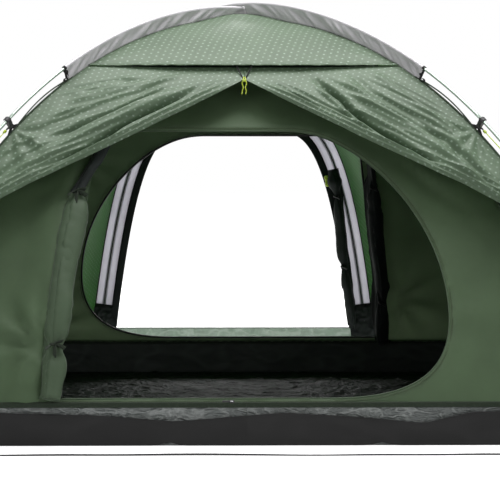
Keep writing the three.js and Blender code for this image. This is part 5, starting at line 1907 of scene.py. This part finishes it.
def porch_sleeve():
    """The pale sleeve round the hooped pole: a pocket with a flat to each side of it."""
    line = hoop_part(hoop_line(), PORCH_SLEEVE_FOOT - 0.018)
    gone = lengths_along(line)
    top = np.radians(np.linspace(-80, 80, 9))
    right = round_points(0.0062, top)
    left = -right
    reach = PORCH_SLEEVE_REACH
    outline = np.concatenate([
        [[-0.0011, -reach], [0.0011, -reach]], [[0.0012, -0.02], [0.0016, -0.01]], right,
        [[0.0016, 0.01], [0.0012, 0.02]], [[0.0011, reach], [-0.0011, reach]],
        [[-0.0012, 0.02], [-0.0016, 0.01]], left, [[-0.0016, -0.01], [-0.0012, -0.02]]])
    shapes = np.broadcast_to(outline, (len(line), *outline.shape)).copy()
    wander = 0.0012 * ripples_along(gone, 0.14, 71)
    bend = hump(np.abs(outline[:, 1]) - 0.022, 0.01)
    shapes[..., 0] += wander[:, None] * bend * np.sign(outline[:, 1])
    outer = rings_along(line, shapes, (0, 1, 0))
    angle = np.unwrap(np.arctan2(outline[:, 1], outline[:, 0]))
    bore = round_points(BORE, angle)
    inner = rings_along(line, bore, (0, 1, 0))
    bored("porch_sleeve_cloth", outer, inner, "strip", nodes=["porch_pole_sleeve"])
    inward = inward_of_hoop(line)
    # The outer and inner tapes bind the strip's edges; the black pocket tape down its middle is painted
    # shade, the shadow of the pole seen through the pale cloth.
    for name, offset, width, lift in (("outer", reach - 0.0015, 0.005, 0.0022),
                                      ("inner", -reach + 0.0015, 0.004, 0.0022),
                                      ("pocket", 0.0, 0.003, 0.0066)):
        for way, where in ((-1, "inside"), (1, "outside")):
            path = line + inward * offset + np.array([0, way * lift, 0])
            tape(f"porch_sleeve_{name}_edge_{where}", path, inward, width, 0.001, "binding")
    for end, label in ((0, "left"), (-1, "right")):
        foot = line[end]
        ahead = away_from_end(line, end)
        path = foot + ahead * np.linspace(-0.001, 0.016, 4)[:, None]
        mouth = [[-0.004, -reach - 0.001], [0.004, -reach - 0.001], [0.0085, -0.006], [0.0085, 0.006],
                 [0.004, reach + 0.001], [-0.004, reach + 0.001], [-0.0085, 0.006], [-0.0085, -0.006]]
        hole = round_points(0.0064, np.arctan2(*np.transpose(mouth)[::-1]))
        bored(f"porch_sleeve_mouth_{label}", rings_along(path, mouth, (0, 1, 0)),
              rings_along(path, hole, (0, 1, 0)), "binding")


def porch_border():
    """The black edge of the porch door, folded over and stitched along both sides."""
    reach = PORCH_SLEEVE_REACH + 0.0003 + PORCH_BORDER / 2
    line = hoop_part(hoop_offset(-reach), PORCH_SILL + 0.004)
    wander = 0.0008 * ripples(together(lengths_along(line), line[:, 0] * 0), 0.09, 73)
    path = line + np.array([0, 1, 0]) * wander[:, None]
    tape("porch_border_cloth", path, (0, 1, 0), 0.002, PORCH_BORDER, "black", nodes=["porch_door_border"])
    inward = inward_of_hoop(line)
    lines = [path + inward * offset + np.array([0, way * 0.0012, 0])
             for offset in (-0.0095, 0.0095) for way in (-1, 1)]
    stitches("porch_border_stitches", lines, "black_thread")


def porch_sill():
    low, high = (np.array(corner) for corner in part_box("porch_sill"))
    x = np.linspace(low[0] + 0.0005, high[0] - 0.0005, 320)
    z = np.linspace(high[2], low[2], 26)
    grid_x, grid_z = np.meshgrid(x, z)
    places = together(grid_x, grid_z)
    edge = edge_fade((grid_x - low[0]) / (high[0] - low[0]), 0.03)
    relief = (0.003 * crumples(places, 0.09, 77) + 0.003 * ripples(places * [1, 0.3], 0.2, 78)) * edge
    y = np.full_like(grid_x, PORCH_Y - 0.0004)
    cloth = Cloth("porch_sill_cloth", together(grid_x, y, grid_z), relief, "sill",
                  nodes=["porch_sill"], heart=(0, 5, 0.03), unrolled=(grid_x, grid_z))
    for row, label in ((0.0, "top"), (1.0, "foot")):
        line, normals = cloth.line(row=row)
        tape(f"porch_sill_binding_{label}", line - normals * 0.0003, normals, 0.0026, 0.0035, "binding")


def porch_roll():
    """The porch door, rolled up along the right leg of the hoop and tied near its top."""
    line = hoop_line()
    keep = (line[:, 0] > 0) & (line[:, 2] > PORCH_SILL + 0.01) & (line[:, 2] < PORCH_HEIGHT - 0.21)
    spine = line[keep]
    if spine[0, 2] > spine[-1, 2]:
        spine = spine[::-1]
    spine[:, 0] -= np.interp(spine[:, 2], [0.06, 0.29, 0.37, 0.55, 0.7], [0.048, 0.055, 0.051, 0.034, 0.014])
    spine[:, 1] -= 0.0245
    path = evenly(spine, ROLL_ROWS)
    gone = lengths_along(path)
    ties = [float(np.interp(height, path[:, 2], gone)) for height in (0.578, 0.3)]
    frames = rolled_door("porch_door_rolled", spine, (-1.0, 0, 0), ties, "black", "porch_door_roll", turns=10,
                         radius=0.0185, flap=0.026, stand=0.0163, wide=1.05, ragged=0.016, seed=12,
                         pinched=0.7, head_swell=0.55)
    for number, tie in enumerate(ties):
        roll_tie(f"porch_door_tie_{number + 1}", frames, tie, 0.0095, toggle="plastic", wide=1.15)
    knot = float(np.interp(0.648, path[:, 2], gone))
    roll_tie("porch_door_knot", frames, knot, 0.0215, toggle="guy", wide=1.15, aside=True)


def porch_patch(side):
    """The black cloth that closes the foot of the sleeve, down to the sill."""
    rim = hoop_offset(PORCH_SLEEVE_REACH + 0.003)
    edge = hoop_offset(-(PORCH_SLEEVE_REACH + 0.004))
    heights = np.linspace(PORCH_SLEEVE_FOOT - 0.01, 0.006, 30)
    outer, inner = (np.interp(heights, line[:200, 2], -line[:200, 0]) for line in (rim, edge))
    across = np.linspace(0, 1, 20)[None]
    outer += 0.03 * eased(0.09 - heights, 0.0, 0.07)
    inner -= 0.02 * eased(0.11 - heights, 0.0, 0.04)
    x = side * (inner[:, None] * (1 - across) + outer[:, None] * across)
    z = np.broadcast_to(heights[:, None], x.shape)
    places = together(x, z)
    relief = 0.007 * crumples(places, 0.06, 83 + side) * edge_fade(across, 0.1)
    grid = together(x, np.full_like(x, PORCH_Y - 0.0085), z)
    name = SIDE_NAMES[side]
    Cloth(f"porch_sleeve_patch_{name}", grid, relief, "black", heart=(0, 5, 0.1))


porch_half(-1)
porch_half(1)
porch_ridge()
porch_sleeve()
porch_border()
porch_sill()
porch_roll()
porch_patch(-1)
porch_patch(1)


# ---- hooks and their tapes
def arc_about(radius, first, last, count):
    """Points on a circle, from one sideways reach to another, above its centre."""
    x = np.linspace(first, last, count)
    return together(x, np.sqrt(radius ** 2 - x ** 2))


def hook(corner):
    """A moulded C that snaps on the pole, open to its outer side."""
    pivot, along, out, up = hook_frame(corner)
    back = np.radians(np.linspace(215, 118, 12))
    heel = [0, 0.026] + round_points(0.0082, back)
    bore = np.radians(np.linspace(92, 268, 16))
    cavity = [0, 0.026] + round_points(BORE, bore)
    outline = np.concatenate([
        [[-0.004, 0.003], [-0.004, 0.008], [-0.0062, 0.0145]], heel,
        arc_about(0.034, -0.002, 0.0065, 6), [[0.0078, 0.0322]], arc_about(0.031, 0.0065, 0.0012, 4), cavity,
        arc_about(0.021, 0.0012, 0.0065, 4), [[0.0076, 0.0187]], arc_about(0.018, 0.0065, 0.0045, 3),
        [[0.004, 0.008], [0.004, 0.003]]])
    plate(f"hook_{corner}", outline, pivot, out, up, 0.014, "plastic", bevel=0.0008,
          body=f"hook_{corner}", nodes=[f"pole_hook_{corner}"])
    bar = pivot + up * 0.0052 + along * np.linspace(-0.0085, 0.0085, 5)[:, None]
    round_tube(f"hook_bar_{corner}", bar, 0.003, "plastic", sides=14, body=f"hook_{corner}")


def hook_tape(x, y, corner):
    """Two legs of webbing from the ridge to the hook, and the lug that holds the guy line."""
    pivot, along, out, up = hook_frame(corner)
    legs = []
    for way in (-1, 1):
        foot = pivot - up * 0.0085 + along * (0.021 * way)
        bend = pivot - up * 0.001 + along * (0.0075 * way)
        head = pivot + up * 0.002 + along * (0.002 * way)
        path = smooth_line([foot - up * 0.004, foot, bend, head], 18)
        legs.append(tape(f"hook_leg_{corner}_{way}", path, along, 0.01, 0.0016, "webbing"))
    joined = join_pieces(f"hook_tape_legs_{corner}", legs)
    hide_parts(f"hook_tape_{corner}")
    away = guy_ends(x, y, corner)[-1]
    bend = pivot + out * 0.014
    path = rounded_path([pivot - out * 0.001, bend, bend + away * 0.008], 0.005)
    tape(f"hook_lug_{corner}", path, along, 0.01, 0.003, "webbing")


def outward_of_ridge(line, pole):
    outward = unit(np.cross(directions(line), pole_side(pole)))
    return outward * np.sign(outward[:, 2:])


def ridge_tape(x, y, corner):
    """The narrow tape from the sleeve's end along the ridge to the hook, standing a little off it."""
    shares = np.linspace(SLEEVE_END + 0.002, HOOK_SHARE - 0.012, 40)
    line = ridge(shares) * [x, y, 1]
    outward = outward_of_ridge(line, x * y)
    line += outward * (0.0015 + 0.0075 * arched(np.linspace(0, 1, 40)))[:, None]
    tape(f"ridge_tape_{corner}", line, outward, 0.0042, 0.0012, "green_tape")


def ridge_binding(x, y, corner):
    """The bound edge where the fly's panels meet below the hook, down to the hem."""
    shares = np.linspace(SLEEVE_END - 0.01, HEM_SHARE - 0.001, 110)
    line = ridge(shares) * [x, y, 1]
    line += outward_of_ridge(line, x * y) * 0.0006
    tape(f"ridge_binding_{corner}", line, pole_side(x * y), 0.0068, 0.0022, "green_tape")


def vent_tapes():
    """The two tapes inside the vent, from the hood down to where the doors part."""
    top = share_at(DOOR_TUCK_TOP, ridge)
    base = np.array([0.0, 0.004 - ridge(np.array(top))[1], DOOR_TUCK_TOP])
    low = np.array([0.0, -0.56, DOOR_APEX + 0.001])
    for way in (-1, 1):
        start = base + np.array([way * 0.022, 0.0, 0.012])
        end = low + np.array([way * 0.003, -0.001, 0.0])
        tape(f"vent_tape_{SIDE_NAMES[way]}", np.linspace(start, end, 12), (1, 0, 0), 0.0036,
             0.001, "webbing")


for x_way, y_way, corner_name in CORNERS:
    hook(corner_name)
    hook_tape(x_way, y_way, corner_name)
    ridge_tape(x_way, y_way, corner_name)
    ridge_binding(x_way, y_way, corner_name)
vent_tapes()


# ---- feet and the strap between them
PAD = [(0.0215, 0.0002), (0.0238, 0.0006), (0.024, 0.002), (0.0234, 0.0028), (0.0218, 0.003),
       (0.0208, 0.0024), (0.011, 0.0023), (0.0098, 0.0032), (0.006, 0.0042), (0.0045, 0.0044)]


def foot(name, ground, tip, into, outward, node):
    """A ground pad with the pin that plugs the pole, and a ring for a peg outside it."""
    turned(f"{name}_pad", ground, PAD, "plastic", nodes=[node])
    pin = [ground + UP * 0.002, tip - into * 0.002, tip + into * 0.0, tip + into * 0.03]
    round_tube(f"{name}_pin", rounded_path(pin, 0.004), 0.0027, "steel", sides=14)
    centre = ground + outward * 0.034 + UP * 0.0019
    wire_ring(f"{name}_peg_ring", centre, 0.012, 0.0015, UP, "steel")
    hold = ground + outward * np.linspace(0.014, 0.0245, 6)[:, None] + UP * 0.0036
    side = np.array([-outward[1], outward[0], 0])
    tape(f"{name}_ring_loop", hold, side, 0.011, 0.0016, "webbing")


def corner_tab(x, y, corner):
    share = TIP_SHARE * y
    pole = x * y
    tip = pole_point(np.array(share), pole)
    back = pole_point(np.array(share * 0.99), pole)
    ground = np.array([x * FOOT_X, y * FOOT_Y, 0.0])
    outward = unit([ground[0], ground[1], 0])
    foot(f"corner_{corner}", ground, tip, unit(back - tip), outward, f"corner_tab_{corner}")
    tub_corner = np.array([x * INNER_X / 2, y * INNER_Y / 2, 0.014])
    way = unit((ground - tub_corner) * [1, 1, 0])
    side = np.array([-outward[1], outward[0], 0])
    path = [tub_corner + way * 0.003, tub_corner + way * 0.06 - UP * 0.009, ground - way * 0.026 + UP * 0.004,
            ground - way * 0.01 + UP * 0.004]
    path = smooth_line(path, 60)
    tape(f"corner_strap_{corner}", path, side, 0.025, 0.0016, "webbing")
    start = ground - way * 0.05 + UP * 0.0046
    box = [start - side * 0.009, start + side * 0.009, start + way * 0.022 + side * 0.009,
           start + way * 0.022 - side * 0.009, start - side * 0.009]
    cross = [box[0], box[2], box[1], box[3]]
    stitches(f"corner_strap_stitches_{corner}", [np.array(box), np.array(cross)], "black_thread")


def porch_foot(side):
    label = SIDE_NAMES[side]
    line = hoop_line()[::-side]
    ground = np.array([side * (PORCH_HALF_WIDTH + 0.001), PORCH_Y, 0.0])
    foot(f"porch_{label}", ground, line[0], unit(line[3] - line[0]), np.array([0.0, 1.0, 0.0]),
         f"porch_foot_{label}")


def ground_strap():
    low, high = (np.array(corner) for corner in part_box("front_ground_strap"))
    x = np.linspace(low[0], high[0], 220)
    wander = ripples_along(x, 0.6, 55, layers=2)
    ends = eased(np.abs(x), high[0] - 0.06, high[0] - 0.01)
    path = together(x, -FOOT_Y + 0.006 * wander * (1 - ends), 0.0013 + 0.0006 * (wander + 1) * (1 - ends))
    lean = 0.12 * wander * (1 - ends)
    side = together(x * 0, np.cos(lean), np.sin(lean) * 0.3)
    tape("front_strap_webbing", path, side, 0.025, 0.0014, "webbing", nodes=["front_ground_strap"])


for x_way, y_way, corner_name in CORNERS:
    corner_tab(x_way, y_way, corner_name)
porch_foot(-1)
porch_foot(1)
ground_strap()


# ---- zip sliders and the fly's pull
def inner_slider(front):
    """A zip slider with its bridge and a flat pull tag."""
    name = "front" if front else "rear"
    way = -1.0 if front else 1.0
    flip = 1.0 if front else -1.0
    height = DOOR_SILL - 0.008
    y, outward = wall_frame(np.array([height]))
    base = np.array([way * 0.04, flip * y[0], height])
    outward = outward[0] * [1, flip, 1]
    ahead = np.array([way, 0.0, 0.0])
    side = np.cross(outward, ahead)
    at = base + outward * 0.0034
    spine = at + ahead * np.array([-0.007, -0.0062, -0.002, 0.003, 0.0062, 0.007])[:, None]
    rings = scaled_rings(spine, block_outline(0.009, 0.0052), [0.75, 0.95, 1.0, 0.9, 0.8, 0.6], side)
    skin(f"{name}_slider_body", rings, "plastic", body=f"{name}_slider", nodes=[f"{name}_zip_slider"])
    bridge = rounded_path([at - ahead * 0.0045, at - ahead * 0.004 + outward * 0.0046,
                           at + ahead * 0.003 + outward * 0.0046, at + ahead * 0.004], 0.002)
    tape(f"{name}_slider_bridge", bridge, side, 0.0026, 0.0012, "steel", body=f"{name}_slider")
    tag = at + outward * 0.0044 + ahead * np.linspace(0.002, 0.024, 9)[:, None]
    width = np.array([0.003, 0.0042, 0.0048, 0.0044, 0.004, 0.0044, 0.005, 0.005, 0.0034])
    shapes = np.array([block_outline(wide, 0.0018, 16, 4.0) for wide in width])
    skin(f"{name}_slider_tag", rings_along(tag, shapes, side), "plastic", body=f"{name}_slider")


def fly_pull():
    """The neon loop on the fly's zip: two strands from the slider, knotted near their ends."""
    centre = np.array([0.0, -0.56915, 0.95252])
    out = np.array([0.0, -0.58278, 0.81263])
    spine = centre + np.array([1.0, 0, 0]) * np.array([-0.006, -0.005, 0, 0.005, 0.006])[:, None]
    rings = scaled_rings(spine, block_outline(0.005, 0.009), [0.8, 1, 1, 1, 0.8], out)
    skin("fly_pull_slider", rings, "plastic", body="fly_pull", nodes=["fly_zip_pull"])
    start = centre + out * 0.002
    for number, way in enumerate((-1, 1)):
        points = [start + [way * aside, depth, height] for aside, depth, height in (
            (0.0018, 0.001, 0.004), (0.0032, -0.0035, -0.004), (0.006, -0.0035, -0.014),
            (0.0028, -0.003, -0.024), (0.0052, -0.003, -0.033), (0.0068 - 0.003 * number, -0.003, -0.0425))]
        round_tube(f"fly_pull_strand_{number + 1}", smooth_line(points, 60), 0.0016, "guy", sides=10,
                   body="fly_pull")
    angle = np.linspace(0, 4 * math.pi, 50)[:, None]
    wrap = start + np.array([0, -0.0035, -0.005]) + np.concatenate(
        [0.0042 * np.cos(angle), 0.003 * np.sin(angle), np.linspace(0.003, -0.003, 50)[:, None]], axis=1)
    round_tube("fly_pull_knot", wrap, 0.0015, "guy", sides=8, body="fly_pull")


def inner_pull():
    """The small neon tag on the zip of the inner's front door, near the top of its hinge."""
    spot = on_wall(np.array([[-0.335, 0.815]]), 0.006)[0]
    path = smooth_line([spot + [-0.003, 0, 0.014], spot, spot + [0.004, -0.001, -0.01],
                        spot + [0.01, -0.001, -0.022]], 30)
    round_tube("inner_front_pull", path, 0.0024, "guy", sides=10)


inner_slider(True)
inner_slider(False)
fly_pull()
inner_pull()


# ---- studio
def seen_directly(tree):
    """1 for what the camera sees, directly, mirrored or through glass."""
    seen = put(tree, "ShaderNodeLightPath").outputs
    flags = [seen["Is Camera Ray"], seen["Is Glossy Ray"], seen["Is Transmission Ray"]]
    return calculate(tree, "MAXIMUM", calculate(tree, "MAXIMUM", flags[0], flags[1]), flags[2])


def studio_floor():
    """A plain white floor, which keeps the tent's shadow."""
    corners = [(-30, -30, 0), (30, -30, 0), (30, 40, 0), (-30, 40, 0)]
    floor = mesh_object("studio_floor", corners, [[0, 1, 2, 3]])
    material, tree = start_material("studio_white")
    strength = times(tree, seen_directly(tree), 0.85)
    matt = shader(tree, "BsdfDiffuse", {"Color": rgba(0.8, 0.8, 0.8)})
    glow = shader(tree, "Emission", {"Color": rgba(1, 1, 1), "Strength": strength})
    finish_material(tree, shader(tree, "AddShader", {0: matt, 1: glow}))
    floor.data.materials.append(material)


def studio_world():
    """White behind the tent, and a plain grey light from all round."""
    world = bpy.data.worlds.new("studio")
    bpy.context.scene.world = world
    world.use_nodes = True
    tree = world.node_tree
    tree.nodes.clear()
    strength = from_range(tree, seen_directly(tree), 0, 1, 0.27, 1.0, smooth=False)
    back = shader(tree, "Background", {"Color": rgba(1, 1, 1), "Strength": strength})
    put(tree, "ShaderNodeOutputWorld", {"Surface": back})


def area_light(name, place, target, size, power):
    data = bpy.data.lights.new(name, "AREA")
    data.shape = "RECTANGLE"
    data.size, data.size_y = size
    data.energy = power
    light = bpy.data.objects.new(name, data)
    light.visible_camera = False
    light.location = place
    aim = Vector(target) - Vector(place)
    light.rotation_euler = aim.to_track_quat("-Z", "Y").to_euler()
    bpy.context.collection.objects.link(light)


studio_floor()
studio_world()
area_light("overhead", (0.2, 0.1, 4.6), (0, 0.0, 0.5), (3.0, 2.0), 226)
area_light("front_left", (-4.2, -5.0, 2.6), (0, -0.6, 0.5), (3.0, 2.4), 38)
area_light("front_right", (4.2, -5.2, 2.2), (0, -0.6, 0.5), (2.6, 2.2), 50)
area_light("behind_porch", (0.0, 6.0, 2.8), (0, 1.8, 0.5), (4.0, 2.4), 230)
area_light("inside", (-0.4, -0.1, 0.3), (-0.6, 0.9, 0.95), (0.5, 0.4), 1.2)
bpy.context.scene.view_settings.view_transform = "Standard"
